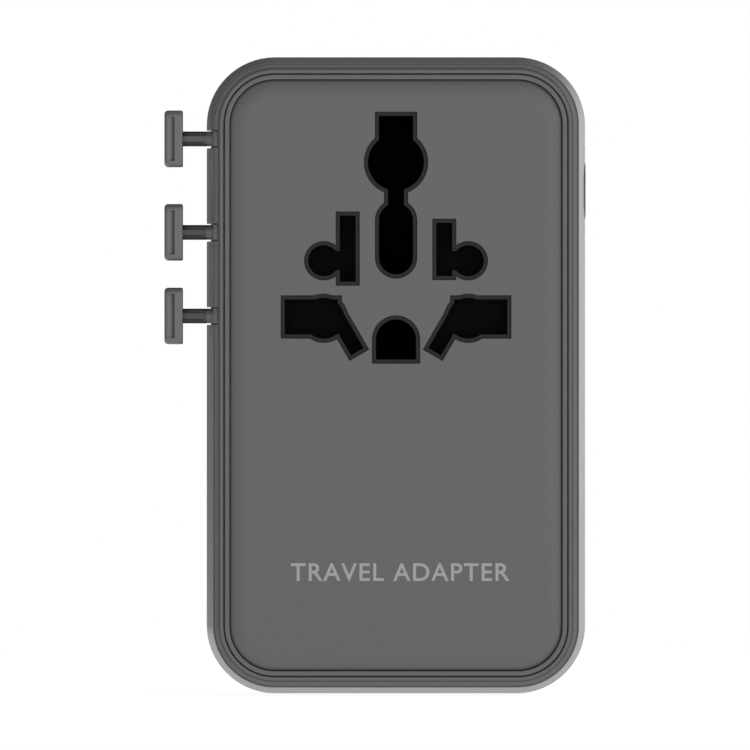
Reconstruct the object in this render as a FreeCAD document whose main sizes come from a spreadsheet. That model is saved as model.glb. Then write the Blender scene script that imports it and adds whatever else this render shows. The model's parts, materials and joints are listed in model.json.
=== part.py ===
"""Universal travel adapter: socket face at the front (-Y), plug pins at the back (+Y), ports underneath.

The origin is the middle of the foot: x and y are the middle of the body, z = 0 is the surface it stands on.
All sizes are millimetres. Driving sizes live in the sheet, and every piece is bound to it.
"""

import FreeCAD, Part
import os
import re
import Sketcher
from FreeCAD import Placement, Rotation, Vector

doc = FreeCAD.newDocument("travel_adapter")
sheet = doc.addObject("Spreadsheet::Sheet", "sizes")

SIZES = {
    # body
    "body_width": 50.0,
    "body_height": 84.0,
    "body_depth": 56.0,
    "corner": 8.7,
    "cavity_width": 44.8,
    "cavity_height": 78.8,
    "cavity_corner": 6.1,
    "front_taper": 1.0,
    "waist": 0.53,
    "crest_y": -8.0,
    "waist_y": -2.0,
    "shell_front_y": -27.2,
    "rabbet_depth": 1.0,
    "rabbet_half": 23.3,
    "cover_thickness": 2.0,
    "cover_edge": 1.2,
    "fit_gap": 0.1,
    # rim of the socket face, each as a distance in from the widest outline
    "bezel_outer": 1.05,
    "bezel_inner": 2.25,
    "cove": 0.7,
    "trim_outer": 2.5,
    "trim_inner": 3.07,
    "plate_inset": 3.2,
    "plate_edge": 0.35,
    # socket frame and its chamber
    "panel_front_y": -26.7,
    "panel_back_y": -24.9,
    "chamber_left": -20.6,
    "chamber_right": 17.5,
    "chamber_bottom": 29.0,
    "chamber_top": 79.2,
    "chamber_wall": 1.2,
    "chamber_back_y": -6.0,
    "collar_front_y": -27.65,
    "rim": 0.52,
    "collar_gap": 0.04,
    # socket openings, to the plug standards
    "uk_line_x": 11.14,
    "uk_line_z": 49.67,
    "uk_slot_wide": 7.0,
    "uk_slot_tall": 4.62,
    "round_line_x": 9.5,
    "round_line_z": 49.5,
    "round_line_radius": 2.71,
    "au_x": 6.88,
    "au_z": 48.2,
    "au_wide": 1.94,
    "au_long": 7.2,
    "au_lean": 30.0,
    "eu_x": 9.5,
    "eu_z": 57.06,
    "eu_radius": 2.05,
    "eu_bridge": 2.57,
    "us_x": 6.35,
    "us_wide": 2.1,
    "us_left_low": 54.3,
    "us_left_high": 63.0,
    "us_right_low": 55.05,
    "us_right_high": 62.05,
    "us_earth_z": 46.7,
    "us_earth_radius": 2.64,
    "us_earth_low": 44.06,
    "mid_radius": 2.245,
    "mid_low_z": 57.5,
    "mid_high_z": 62.4,
    "neck_wide": 2.11,
    "earth_round_z": 70.0,
    "earth_round_radius": 3.7,
    "uk_earth_z": 71.87,
    "uk_earth_wide": 4.5,
    "uk_earth_tall": 8.5,
    # shutters
    "shutter_front_y": -24.6,
    "shutter_back_y": -23.1,
    "retainer_front_y": -22.9,
    "retainer_back_y": -21.9,
    "shutter_spring_radius": 0.6,
    "shutter_spring_wire": 0.12,
    # sliders
    "uk_knob_z": 73.1,
    "eu_knob_z": 60.8,
    "us_knob_z": 49.8,
    "slot_tall": 2.3,
    "fin_tall": 1.94,
    "fin_front_y": -27.15,
    "fin_back_y": -19.0,
    "stem_front_y": -25.6,
    "stem_back_y": -19.4,
    "knob_front_y": -27.0,
    "knob_back_y": -18.0,
    "knob_tall": 7.45,
    "knob_outer_x": -30.46,
    "knob_seam_x": -29.26,
    "knob_lip_x": -29.12,
    "knob_inner_x": -28.05,
    "knob_corner": 0.9,
    "knob_round": 0.55,
    "knob_seam": 0.18,
    "arm_outer_x": -22.25,
    "arm_inner_x": -20.9,
    "arm_front_y": -24.5,
    "bar_front_y": -3.0,
    "bar_back_y": 2.0,
    "uk_travel": 23.2,
    "eu_travel": 19.6,
    "us_travel": 17.1,
    # plug pins, to the plug standards
    "pin_tip_y": 27.5,
    "pin_root_y": -3.4,
    "uk_pin_wide": 6.35,
    "uk_pin_thick": 3.97,
    "uk_pin_short": 5.0,
    "uk_bare": 8.7,
    "sleeve_wall": 0.6,
    "uk_earth_pin_tall": 7.94,
    "pin_chamfer": 0.9,
    "plug_line_x": 11.11,
    "plug_line_z": 49.67,
    "plug_earth_z": 71.9,
    "plug_eu_x": 9.5,
    "plug_eu_z": 62.65,
    "plug_eu_radius": 2.4,
    "eu_bare": 9.0,
    "plug_us_x": 6.35,
    "plug_us_z": 55.9,
    "blade_wide": 6.35,
    "blade_thick": 1.55,
    "turret_radius": 3.45,
    "turret_back_y": 10.9,
    "journal_radius": 2.0,
    "journal_gap": 0.05,
    "hole_gap": 0.25,
    # release button
    "button_y": -8.0,
    "button_z": 66.35,
    "ring_radius": 6.1,
    "button_radius": 3.75,
    "flange_radius": 4.6,
    "button_travel": 1.0,
    "ring_dish_depth": 0.45,
    "button_face_x": 25.06,
    # fuse drawer
    "drawer_half": 11.0,
    "drawer_low": 35.8,
    "drawer_high": 41.7,
    "drawer_front_y": 15.4,
    "fuse_radius": 2.55,
    "fuse_z": 38.75,
    "shelf_low": 43.4,
    "fuse_half": 10.0,
    # USB ports
    "port_x": 10.0,
    "port_y": 6.5,
    "port_low": 1.0,
    "port_top": 12.5,
    "c_wide": 8.94,
    "c_thick": 3.26,
    "a_wide": 13.1,
    "a_thick": 5.72,
    "port_wall": 0.3,
    "port_clear": 0.35,
    "tongue_low": 2.2,
    # fixings
    "screw_x": 19.0,
    "screw_low": 5.6,
    "screw_high": 78.4,
    "screw_radius": 1.1,
    "boss_radius": 2.6,
    "boss_front_y": 10.5,
}


def fill_sheet():
    for row, (name, size) in enumerate(SIZES.items(), start=1):
        sheet.set(f"A{row}", name)
        sheet.set(f"B{row}", str(size))
        sheet.setAlias(f"B{row}", name)
    doc.recompute()


def formula(text):
    """The sheet's sizes named in a formula, as FreeCAD writes them."""
    return re.sub(
        r"[a-z_]+[a-z0-9_]*", lambda word: f"sizes.{word[0]}" if word[0] in SIZES else word[0],
        str(text)
    )


def bind(thing, path, text):
    thing.setExpression(path, formula(text))


# ---------------------------------------------------------------- solids

TURNS = {"x": Rotation(Vector(0, 1, 0), 90), "y": Rotation(Vector(1, 0, 0), -90), "z": Rotation()}
PLANES = {"x": "YZ_Plane", "y": "XZ_Plane", "z": "XY_Plane"}
MIDDLE_Z = "(body_height / 2)"


def block(name, x, y, z):
    """A box from its low and high sides."""
    solid = doc.addObject("Part::Box", name)
    for size, axis, (low, high) in (("Length", "x", x), ("Width", "y", y), ("Height", "z", z)):
        bind(solid, size, f"({high}) - ({low})")
        bind(solid, f"Placement.Base.{axis}", low)
    return solid


def rod(name, radius, along, span, at):
    """A cylinder along an axis, from one end to the other, at a place on the other two axes."""
    solid = doc.addObject("Part::Cylinder", name)
    solid.Placement = Placement(Vector(), TURNS[along])
    bind(solid, "Radius", radius)
    bind(solid, "Height", f"({span[1]}) - ({span[0]})")
    places = dict(zip([axis for axis in "xyz" if axis != along], at))
    places[along] = span[0]
    for axis, place in places.items():
        bind(solid, f"Placement.Base.{axis}", place)
    return solid


def taper(name, radius_low, radius_high, along, span, at):
    """A cone frustum along an axis."""
    solid = doc.addObject("Part::Cone", name)
    solid.Placement = Placement(Vector(), TURNS[along])
    bind(solid, "Radius1", radius_low)
    bind(solid, "Radius2", radius_high)
    bind(solid, "Height", f"({span[1]}) - ({span[0]})")
    places = dict(zip([axis for axis in "xyz" if axis != along], at))
    places[along] = span[0]
    for axis, place in places.items():
        bind(solid, f"Placement.Base.{axis}", place)
    return solid


def join(name, *solids):
    made = doc.addObject("Part::MultiFuse", name)
    made.Shapes = list(solids)
    made.Refine = True
    return made


def cut(name, base, *tools):
    made = doc.addObject("Part::Cut", name)
    made.Base = base
    made.Tool = tools[0] if len(tools) == 1 else join(name + "_tools", *tools)
    made.Refine = True
    return made


def overlap(name, first, second):
    made = doc.addObject("Part::Common", name)
    made.Base = first
    made.Tool = second
    return made


def group(name, *solids):
    """Separate solids that share a node."""
    made = doc.addObject("Part::Compound", name)
    made.Links = list(solids)
    return made


# ---------------------------------------------------------------- sketched solids


def new_sketch(body, name, facing, along, centre):
    sketch = body.newObject("Sketcher::SketchObject", name)
    plane = next(feature for feature in body.Origin.OriginFeatures if feature.Role == PLANES[facing])
    sketch.AttachmentSupport = [(plane, "")]
    sketch.MapMode = "FlatFace"
    bind(sketch, "AttachmentOffset.Base.x", centre[0])
    bind(sketch, "AttachmentOffset.Base.y", centre[1])
    bind(sketch, "AttachmentOffset.Base.z", f"-({along})" if facing == "y" else along)
    return sketch


def name_size(sketch, number, name, text):
    sketch.renameConstraint(number, name)
    bind(sketch, f"Constraints.{name}", text)


def rounded_outline(body, name, facing, along, centre, width, height, corner):
    """A closed rounded rectangle: lines and corner arcs taken in turn, anticlockwise."""
    sketch = new_sketch(body, name, facing, along, centre)
    half_w, half_h, r = 10, 15, 3
    corners = [(1, -1), (1, 1), (-1, 1), (-1, -1)]
    for turn, (sx, sy) in enumerate(corners):
        px, py = corners[turn - 1]
        start = Vector(
            px * half_w - (px * r if turn % 2 == 0 else 0), py * half_h - (py * r if turn % 2 else 0), 0
        )
        end = Vector(
            sx * half_w - (sx * r if turn % 2 == 0 else 0), sy * half_h - (sy * r if turn % 2 else 0), 0
        )
        sketch.addGeometry(Part.LineSegment(start, end), False)
        circle = Part.Circle(Vector(sx * (half_w - r), sy * (half_h - r), 0), Vector(0, 0, 1), r)
        quarter = 1.5707963267948966
        sketch.addGeometry(Part.ArcOfCircle(circle, (turn - 1) * quarter, turn * quarter), False)
    for piece in range(8):
        sketch.addConstraint(Sketcher.Constraint("Tangent", piece, 2, (piece + 1) % 8, 1))
    for line, lie in ((0, "Horizontal"), (2, "Vertical"), (4, "Horizontal"), (6, "Vertical")):
        sketch.addConstraint(Sketcher.Constraint(lie, line))
    for arc in (3, 5, 7):
        sketch.addConstraint(Sketcher.Constraint("Equal", 1, arc))
    sketch.addConstraint(Sketcher.Constraint("Symmetric", 0, 2, 4, 2, -1, 1))
    name_size(sketch, sketch.addConstraint(Sketcher.Constraint("Radius", 1, r)), "corner", corner)
    width_number = sketch.addConstraint(Sketcher.Constraint("DistanceX", 6, 1, 2, 1, 2 * half_w))
    name_size(sketch, width_number, "width", width)
    height_number = sketch.addConstraint(Sketcher.Constraint("DistanceY", 0, 1, 4, 1, 2 * half_h))
    name_size(sketch, height_number, "height", height)
    return sketch


def slab(name, facing, span, centre, width, height, corner, rounding=None):
    """A rounded rectangle padded along the axis it faces; rounding fillets the edge of its far end."""
    body = doc.addObject("PartDesign::Body", name)
    sketch = rounded_outline(body, name + "_outline", facing, span[0], centre, width, height, corner)
    pad = body.newObject("PartDesign::Pad", name + "_pad")
    pad.Profile = sketch
    pad.Reversed = facing == "y"
    bind(pad, "Length", f"({span[1]}) - ({span[0]})")
    if rounding:
        doc.recompute()
        axis = "xyz".index(facing)
        ends = [
            getattr(vertex.Point, facing)
            for edge in pad.Shape.Edges
            for vertex in edge.Vertexes
        ]
        side = rounding[0](ends)
        edges = [
            f"Edge{number}"
            for number, edge in enumerate(pad.Shape.Edges, start=1)
            if all(abs(vertex.Point[axis] - side) < 1e-4 for vertex in edge.Vertexes)
        ]
        fillet = body.newObject("PartDesign::Fillet", name + "_fillet")
        fillet.Base = (pad, edges)
        bind(fillet, "Radius", rounding[1])
    return body


def outline_slab(name, span, distance):
    """A slab of the body's own outline, taken in by a distance."""
    width = f"body_width - 2 * ({distance})"
    height = f"body_height - 2 * ({distance})"
    return slab(name, "y", span, ("0", MIDDLE_Z), width, height, f"corner - ({distance})")


# ---------------------------------------------------------------- shells and rim


def slot(name, knob_z, travel):
    """The way for one slider through the left wall, open at the front edge."""
    return block(
        name,
        ("-body_width / 2 - 1", "-rabbet_half + 2"),
        ("shell_front_y - 1", f"fin_back_y + {travel} + 0.5"),
        (f"{knob_z} - slot_tall / 2", f"{knob_z} + slot_tall / 2"),
    )


SLIDERS = {
    "uk": ("uk_knob_z", "uk_travel"), "eu": ("eu_knob_z", "eu_travel"), "us": ("us_knob_z", "us_travel")
}


def housing_body():
    """The outside of the housing: widening from the rim to a crest at the button, then straight back."""
    body = doc.addObject("PartDesign::Body", "housing_body")
    stations = (
        (
            "front", "shell_front_y", "body_width - 2 * front_taper", "body_height - 2 * front_taper",
            "corner - front_taper"
        ),
        ("crest", "crest_y", "body_width", "body_height", "corner"),
        ("waist", "waist_y", "body_width - 2 * waist", "body_height", "corner - waist"),
        (
            "back", "body_depth / 2 - cover_thickness", "body_width - 2 * waist", "body_height",
            "corner - waist"
        ),
    )
    outlines = [
        rounded_outline(body, f"housing_{name}", "y", y, ("0", MIDDLE_Z), width, height, corner)
        for name, y, width, height, corner in stations
    ]
    loft = body.newObject("PartDesign::AdditiveLoft", "housing_loft")
    loft.Profile = outlines[0]
    loft.Sections = outlines[1:]
    loft.Ruled = True
    return body


def make_housing(outside):
    rabbet = slab(
        "front_rabbet", "y", ("shell_front_y - 1", "shell_front_y + rabbet_depth"), ("0", MIDDLE_Z),
        "2 * rabbet_half", "body_height - body_width + 2 * rabbet_half",
        "corner - body_width / 2 + rabbet_half",
    )
    hollow = slab(
        "housing_cavity", "y", ("shell_front_y - 1", "body_depth / 2"), ("0", MIDDLE_Z),
        "cavity_width", "cavity_height", "cavity_corner",
    )
    button_hole = rod(
        "housing_button_hole", "ring_radius + fit_gap", "x", ("cavity_width / 2 - 1", "body_width / 2 + 1"),
        ("button_y", "button_z"),
    )
    slots = [slot(f"housing_slot_{name}", *facts) for name, facts in SLIDERS.items()]
    ports = []
    for name, (side, depth, wide, thick) in PORTS.items():
        ports.append(slab(
            f"opening_{name}", "z", ("-1", "3"), (f"{side} * port_x", f"{depth} * port_y"),
            f"{wide} + port_clear", f"{thick} + port_clear", PORT_CORNERS[wide],
        ))
    shell = cut("housing_shell", outside, rabbet, hollow, button_hole, *slots, *ports)
    posts = []
    bores = []
    for number, (x, z) in enumerate(SCREWS):
        span = ("boss_front_y", "body_depth / 2 - cover_thickness")
        posts.append(rod(f"boss_{number}", "boss_radius", "y", span, (x, z)))
        bores.append(rod(f"boss_bore_{number}", "screw_radius", "y", ("12", "body_depth / 2"), (x, z)))
    inside = slab(
        "boss_limit", "y", ("0", "body_depth / 2"), ("0", MIDDLE_Z),
        "cavity_width + 0.4", "cavity_height + 0.4", "cavity_corner + 0.2",
    )
    kept = overlap("bosses_inside", join("bosses", *posts), inside)
    return cut("main_housing", join("housing_solid", shell, kept), *bores)


SCREWS = [(x, z) for z in ("screw_low", "screw_high") for x in ("-screw_x", "screw_x")]
PORTS = {
    "usb_c_port_1": (-1, -1, "c_wide", "c_thick"),
    "usb_c_port_2": (1, -1, "c_wide", "c_thick"),
    "usb_c_port_3": (-1, 1, "c_wide", "c_thick"),
    "usb_a_port": (1, 1, "a_wide", "a_thick"),
}
PORT_CORNERS = {"c_wide": "c_thick / 2", "a_wide": "0.6"}


def pin_openings(prefix, gap, span):
    """The openings that the plug pins pass through."""
    made = []
    for side in (-1, 1):
        made.append(block(
            f"{prefix}_uk_{side}",
            (
                f"{side} * plug_line_x - uk_pin_wide / 2 - {gap}",
                f"{side} * plug_line_x + uk_pin_wide / 2 + {gap}"
            ),
            span, (f"plug_line_z - uk_pin_thick / 2 - {gap}", f"plug_line_z + uk_pin_thick / 2 + {gap}"),
        ))
        at = (f"{side} * plug_eu_x", "plug_eu_z")
        made.append(rod(f"{prefix}_eu_{side}", f"plug_eu_radius + {gap}", "y", span, at))
        at = (f"{side} * plug_us_x", "plug_us_z")
        made.append(rod(f"{prefix}_us_{side}", f"turret_radius + {gap}", "y", span, at))
    made.append(block(
        f"{prefix}_earth", (f"-uk_pin_thick / 2 - {gap}", f"uk_pin_thick / 2 + {gap}"), span,
        (f"plug_earth_z - uk_earth_pin_tall / 2 - {gap}", f"plug_earth_z + uk_earth_pin_tall / 2 + {gap}"),
    ))
    return made


def make_back_cover():
    plate = slab(
        "cover_plate", "y", ("body_depth / 2 - cover_thickness", "body_depth / 2"), ("0", MIDDLE_Z),
        "body_width - 2 * waist", "body_height", "corner - waist", (max, "cover_edge"),
    )
    spigot = slab(
        "cover_spigot", "y", ("body_depth / 2 - cover_thickness - 1.2", "body_depth / 2 - cover_thickness"),
        (
            "0", MIDDLE_Z
        ), "cavity_width - 2 * fit_gap", "cavity_height - 2 * fit_gap", "cavity_corner - fit_gap",
    )
    spigot_core = slab(
        "cover_spigot_core", "y", (
            "body_depth / 2 - cover_thickness - 2", "body_depth / 2 - cover_thickness"
        ),
        ("0", MIDDLE_Z), "cavity_width - 2.4", "cavity_height - 2.4", "cavity_corner - 1.2",
    )
    corners = [
        block(f"cover_relief_{number}", (f"{x} - 4.6", f"{x} + 4.6"),
              (
                  "body_depth / 2 - cover_thickness - 2", "body_depth / 2 - cover_thickness"
              ), (f"{z} - 4.6", f"{z} + 4.6"))
        for number, (x, z) in enumerate(SCREWS)
    ]
    corners.append(block("cover_slider_relief", ("-cavity_width / 2", "-cavity_width / 2 + 2"),
                         (
                             "body_depth / 2 - cover_thickness - 2", "body_depth / 2 - cover_thickness"
                         ), ("45", "77")))
    openings = pin_openings("cover", "hole_gap", ("body_depth / 2 - 5", "body_depth / 2 + 1"))
    drawer_way = block(
        "cover_drawer_way", ("-drawer_half - 0.2", "drawer_half + 0.2"), (
            "body_depth / 2 - 5", "body_depth / 2 + 1"
        ),
        ("drawer_low - 0.2", "drawer_high + 0.2"),
    )
    drawer_seat = slab(
        "cover_drawer_seat", "y", ("body_depth / 2 - 1.3", "body_depth / 2 + 1"),
        (
            "0", "(drawer_low + drawer_high) / 2"
        ), "2 * drawer_half + 2.2", "drawer_high - drawer_low + 2.2", "1.3",
    )
    screws = []
    for number, (x, z) in enumerate(SCREWS):
        screws.append(rod(f"cover_screw_way_{number}", "screw_radius + 0.15", "y", ("20", "30"), (x, z)))
        screws.append(taper(f"cover_sink_{number}", "screw_radius + 0.15", "2.35", "y",
                            ("body_depth / 2 - 1.5", "body_depth / 2 - 0.3"), (x, z)))
        screws.append(rod(f"cover_sink_top_{number}", "2.35", "y", ("body_depth / 2 - 0.3", "30"), (x, z)))
    ring = cut("cover_ring", spigot, spigot_core, *corners)
    return cut("back_cover", join("cover_solid", plate, ring), drawer_way, drawer_seat, *openings, *screws)


def make_screws():
    made = []
    for number, (x, z) in enumerate(SCREWS):
        shank = rod(
            f"screw_shank_{number}", "screw_radius - 0.02", "y",
            ("body_depth / 2 - 12", "body_depth / 2 - 1.5"), (x, z)
        )
        head = taper(f"screw_head_{number}", "screw_radius - 0.02", "2.2", "y",
                     ("body_depth / 2 - 1.5", "body_depth / 2 - 0.35"), (x, z))
        socket = [
            block(f"screw_cross_{number}_{turn}", (f"{x} - {wide}", f"{x} + {wide}"),
                  ("body_depth / 2 - 1.0", "body_depth / 2"), (f"{z} - {tall}", f"{z} + {tall}"))
            for turn, (wide, tall) in enumerate((("1.2", "0.22"), ("0.22", "1.2")))
        ]
        made.append(cut(f"screw_{number}", join(f"screw_solid_{number}", shank, head), *socket))
    return group("cover_screws", *made)


def make_front_bezel():
    """The rim in front of the shell, with a hollow cove round its outside."""
    body = doc.addObject("PartDesign::Body", "bezel_ring")
    path = rounded_outline(
        body, "bezel_path", "y", "shell_front_y", ("0", MIDDLE_Z),
        "body_width - 2 * bezel_outer", "body_height - 2 * bezel_outer", "corner - bezel_outer",
    )
    profile = new_sketch(body, "bezel_profile", "z", MIDDLE_Z, ("0", "0"))
    left, lip, inner = -23.95, -23.2, -22.75
    front, seat, back, cove = -28.0, -27.2, -26.2, 0.7
    corners = [
        (left, seat), (left, front + cove), (left + cove, front), (inner, front),
        (inner, back), (lip, back), (lip, seat),
    ]
    points = [Vector(x, y, 0) for x, y in corners]
    lines = [(0, 1), (2, 3), (3, 4), (4, 5), (5, 6), (6, 0)]
    for start, end in lines:
        profile.addGeometry(Part.LineSegment(points[start], points[end]), False)
    hollow = Part.Circle(Vector(left, front, 0), Vector(0, 0, 1), cove)
    profile.addGeometry(Part.ArcOfCircle(hollow, 0, 1.5707963267948966), False)
    add = profile.addConstraint
    for first, second in ((1, 2), (2, 3), (3, 4), (4, 5), (5, 0)):
        add(Sketcher.Constraint("Coincident", first, 2, second, 1))
    add(Sketcher.Constraint("Coincident", 0, 2, 6, 2))
    add(Sketcher.Constraint("Coincident", 1, 1, 6, 1))
    for line, lie in enumerate(
        ("Vertical", "Horizontal", "Vertical", "Horizontal", "Vertical", "Horizontal")
    ):
        add(Sketcher.Constraint(lie, line))
    add(Sketcher.Constraint("Vertical", 6, 3, 0, 2))
    add(Sketcher.Constraint("Horizontal", 6, 3, 1, 1))
    name_size(profile, add(Sketcher.Constraint("Radius", 6, cove)), "cove", "cove")
    for name, kind, line, place, text in (
        ("outer_x", "DistanceX", 0, left, "-body_width / 2 + bezel_outer"),
        ("inner_x", "DistanceX", 2, inner, "-body_width / 2 + bezel_inner"),
        ("lip_x", "DistanceX", 4, lip, "-rabbet_half + fit_gap"),
        ("front_y", "DistanceY", 1, front, "-body_depth / 2"),
        ("back_y", "DistanceY", 3, back, "shell_front_y + rabbet_depth"),
        ("seat_y", "DistanceY", 5, seat, "shell_front_y"),
    ):
        name_size(profile, add(Sketcher.Constraint(kind, line, 1, place)), name, text)
    doc.recompute()
    pipe = body.newObject("PartDesign::AdditivePipe", "bezel_pipe")
    pipe.Profile = profile
    pipe.Spine = (path, [])
    notches = [
        block(f"bezel_notch_{name}", ("-body_width / 2", "-body_width / 2 + bezel_outer + 0.5"),
              ("-body_depth / 2 - 1", "shell_front_y + 0.1"), (
                  f"{knob_z} - slot_tall / 2", f"{knob_z} + slot_tall / 2"
              ))
        for name, (knob_z, _) in SLIDERS.items()
    ]
    return cut("front_bezel", body, *notches)


def make_trim_ring():
    outside = outline_slab("trim_outside", ("-body_depth / 2", "panel_front_y"), "trim_outer")
    inside = outline_slab("trim_inside", ("-body_depth / 2 - 1", "panel_front_y + 1"), "trim_inner")
    return cut("face_trim_ring", outside, inside)


# ---------------------------------------------------------------- socket openings


def leaning_slot(name, side, grow, span):
    """The slot for a leaning blade: a block turned about the blade's middle."""
    half_w = f"(au_wide / 2 + {grow})"
    half_l = f"(au_long / 2 + {grow})"
    solid = doc.addObject("Part::Box", name)
    solid.Placement = Placement(Vector(), Rotation(Vector(0, 1, 0), side * SIZES["au_lean"]))
    bind(solid, "Length", f"2 * {half_w}")
    bind(solid, "Width", f"({span[1]}) - ({span[0]})")
    bind(solid, "Height", f"2 * {half_l}")
    bind(solid, "Placement.Rotation.Angle", f"{side} * au_lean")
    bind(solid, "Placement.Base.y", span[0])
    turn = f"({side} * au_lean)"
    bind(solid, "Placement.Base.x", f"{side} * au_x - {half_w} * cos({turn}) - {half_l} * sin({turn})")
    bind(solid, "Placement.Base.z", f"au_z + {half_w} * sin({turn}) - {half_l} * cos({turn})")
    return solid


def upright(name, x, z, span, grow):
    """A slot with square corners, from its sides."""
    return block(
        name, (f"{x[0]} - {grow}", f"{x[1]} + {grow}"), span, (f"{z[0]} - {grow}", f"{z[1]} + {grow}")
    )


def socket_openings(prefix, grow, span):
    """Every opening of the socket face, each way wider by grow."""
    made = []
    us_sides = {-1: ("us_left_low", "us_left_high"), 1: ("us_right_low", "us_right_high")}
    for side, us_z in us_sides.items():
        tag = f"{prefix}_{'left' if side < 0 else 'right'}"
        uk_x = (f"{side} * uk_line_x - uk_slot_wide / 2", f"{side} * uk_line_x + uk_slot_wide / 2")
        uk_z = ("uk_line_z - uk_slot_tall / 2", "uk_line_z + uk_slot_tall / 2")
        made.append(upright(f"{tag}_uk", uk_x, uk_z, span, grow))
        made.append(rod(f"{tag}_round", f"round_line_radius + {grow}", "y", span,
                        (f"{side} * round_line_x", "round_line_z")))
        made.append(leaning_slot(f"{tag}_au", side, grow, span))
        us_x = (f"{side} * us_x - us_wide / 2", f"{side} * us_x + us_wide / 2")
        made.append(upright(f"{tag}_us", us_x, us_z, span, grow))
        made.append(rod(f"{tag}_eu", f"eu_radius + {grow}", "y", span, (f"{side} * eu_x", "eu_z")))
        bridge_x = (("-eu_x", "-us_x") if side < 0 else ("us_x", "eu_x"))
        made.append(block(f"{tag}_bridge", bridge_x, span, (f"eu_z - eu_bridge / 2 - 0.8 * {grow}",
                                                           f"eu_z + eu_bridge / 2 + 0.8 * {grow}")))
    made.append(upright(f"{prefix}_us_earth", ("-us_earth_radius", "us_earth_radius"),
                        ("us_earth_low", "us_earth_z"), span, grow))
    made.append(rod(f"{prefix}_us_earth_top", f"us_earth_radius + {grow}", "y", span, ("0", "us_earth_z")))
    mid_x = (f"-mid_radius - {grow}", f"mid_radius + {grow}")
    made.append(block(f"{prefix}_mid", mid_x, span, ("mid_low_z", "mid_high_z")))
    for end in ("mid_low_z", "mid_high_z"):
        made.append(rod(f"{prefix}_{end}", f"mid_radius + {grow}", "y", span, ("0", end)))
    made.append(block(f"{prefix}_neck", (f"-neck_wide / 2 - {grow}", f"neck_wide / 2 + {grow}"), span,
                      ("mid_high_z", "earth_round_z")))
    made.append(
        rod(f"{prefix}_earth_round", f"earth_round_radius + {grow}", "y", span, ("0", "earth_round_z"))
    )
    made.append(upright(f"{prefix}_uk_earth", ("-uk_earth_wide / 2", "uk_earth_wide / 2"),
                        ("uk_earth_z - uk_earth_tall / 2", "uk_earth_z + uk_earth_tall / 2"), span, grow))
    return made


def make_face_plate():
    plate = slab(
        "face_blank", "y", ("-body_depth / 2 + 0.05", "panel_front_y"), ("0", MIDDLE_Z),
        "body_width - 2 * plate_inset", "body_height - 2 * plate_inset", "corner - plate_inset",
        (min, "plate_edge"),
    )
    return cut(
        "face_plate", plate,
        *socket_openings("face", "rim", ("-body_depth / 2 - 1", "panel_front_y + 1"))
    )


def make_socket_frame():
    """The inner front panel, the dark collars lining the face plate's openings, and the contact chamber."""
    panel = slab(
        "frame_panel", "y", ("panel_front_y", "panel_back_y"), ("0", MIDDLE_Z),
        "cavity_width - 2 * fit_gap", "cavity_height - 2 * fit_gap", "cavity_corner - fit_gap",
    )
    collars = join(
        "frame_collars",
        *socket_openings("collar", "(rim - collar_gap)", ("collar_front_y", "panel_front_y"))
    )
    chamber = block("frame_chamber", ("chamber_left", "chamber_right"), ("panel_back_y", "chamber_back_y"),
                    ("chamber_bottom", "chamber_top"))
    room = block(
        "frame_room", ("chamber_left + chamber_wall", "chamber_right - chamber_wall"),
        ("panel_back_y", "chamber_back_y + 1"), (
            "chamber_bottom + chamber_wall", "chamber_top - chamber_wall"
        ),
    )
    openings = socket_openings("frame", "0", ("-body_depth / 2 - 1", "panel_back_y + 0.5"))
    solid = join("frame_solid", panel, collars, cut("frame_walls", chamber, room))
    return cut("socket_frame", solid, *openings)


def make_retainer():
    """The plate that keeps the shutters in their track."""
    plate = block(
        "retainer_plate", ("chamber_left + chamber_wall + 0.1", "chamber_right - chamber_wall - 0.1"),
        ("retainer_front_y", "retainer_back_y"),
        ("chamber_bottom + chamber_wall + 0.1", "chamber_top - chamber_wall - 0.1"),
    )
    ways = socket_openings("retainer", "0.2", ("retainer_front_y - 1", "retainer_back_y + 1"))
    return cut("shutter_retainer", plate, *ways)


SHUTTER_Y = ("shutter_front_y", "shutter_back_y")


def make_lower_shutter():
    """A U that closes both of the lower line openings and slides down."""
    pads = []
    for name, x, tab_x in (
        ("left", ("-15.2", "-3.9"), ("-17.6", "-15.2")), ("right", ("3.9", "14.9"), ("14.9", "16.2"))
    ):
        pads.append(block(f"lower_pad_{name}", x, SHUTTER_Y, ("43.0", "52.9")))
        pads.append(block(f"lower_tab_{name}", tab_x, SHUTTER_Y, ("50.6", "52.0")))
    pads.append(block("lower_bridge", ("-15.2", "14.9"), SHUTTER_Y, ("40.0", "43.0")))
    return join("lower_shutter", *pads)


def make_upper_shutter(side):
    name = "left" if side < 0 else "right"
    near, far, tab = (4.6, 12.2, 14.6)
    x = sorted((side * near, side * far))
    tab_x = sorted((side * far, side * tab))
    pad = block(f"upper_pad_{name}", (str(x[0]), str(x[1])), SHUTTER_Y, ("53.9", "63.5"))
    shelf = block(f"upper_tab_{name}", (str(tab_x[0]), str(tab_x[1])), SHUTTER_Y, ("53.9", "55.3"))
    return join(f"upper_shutter_{name}", pad, shelf)


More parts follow.
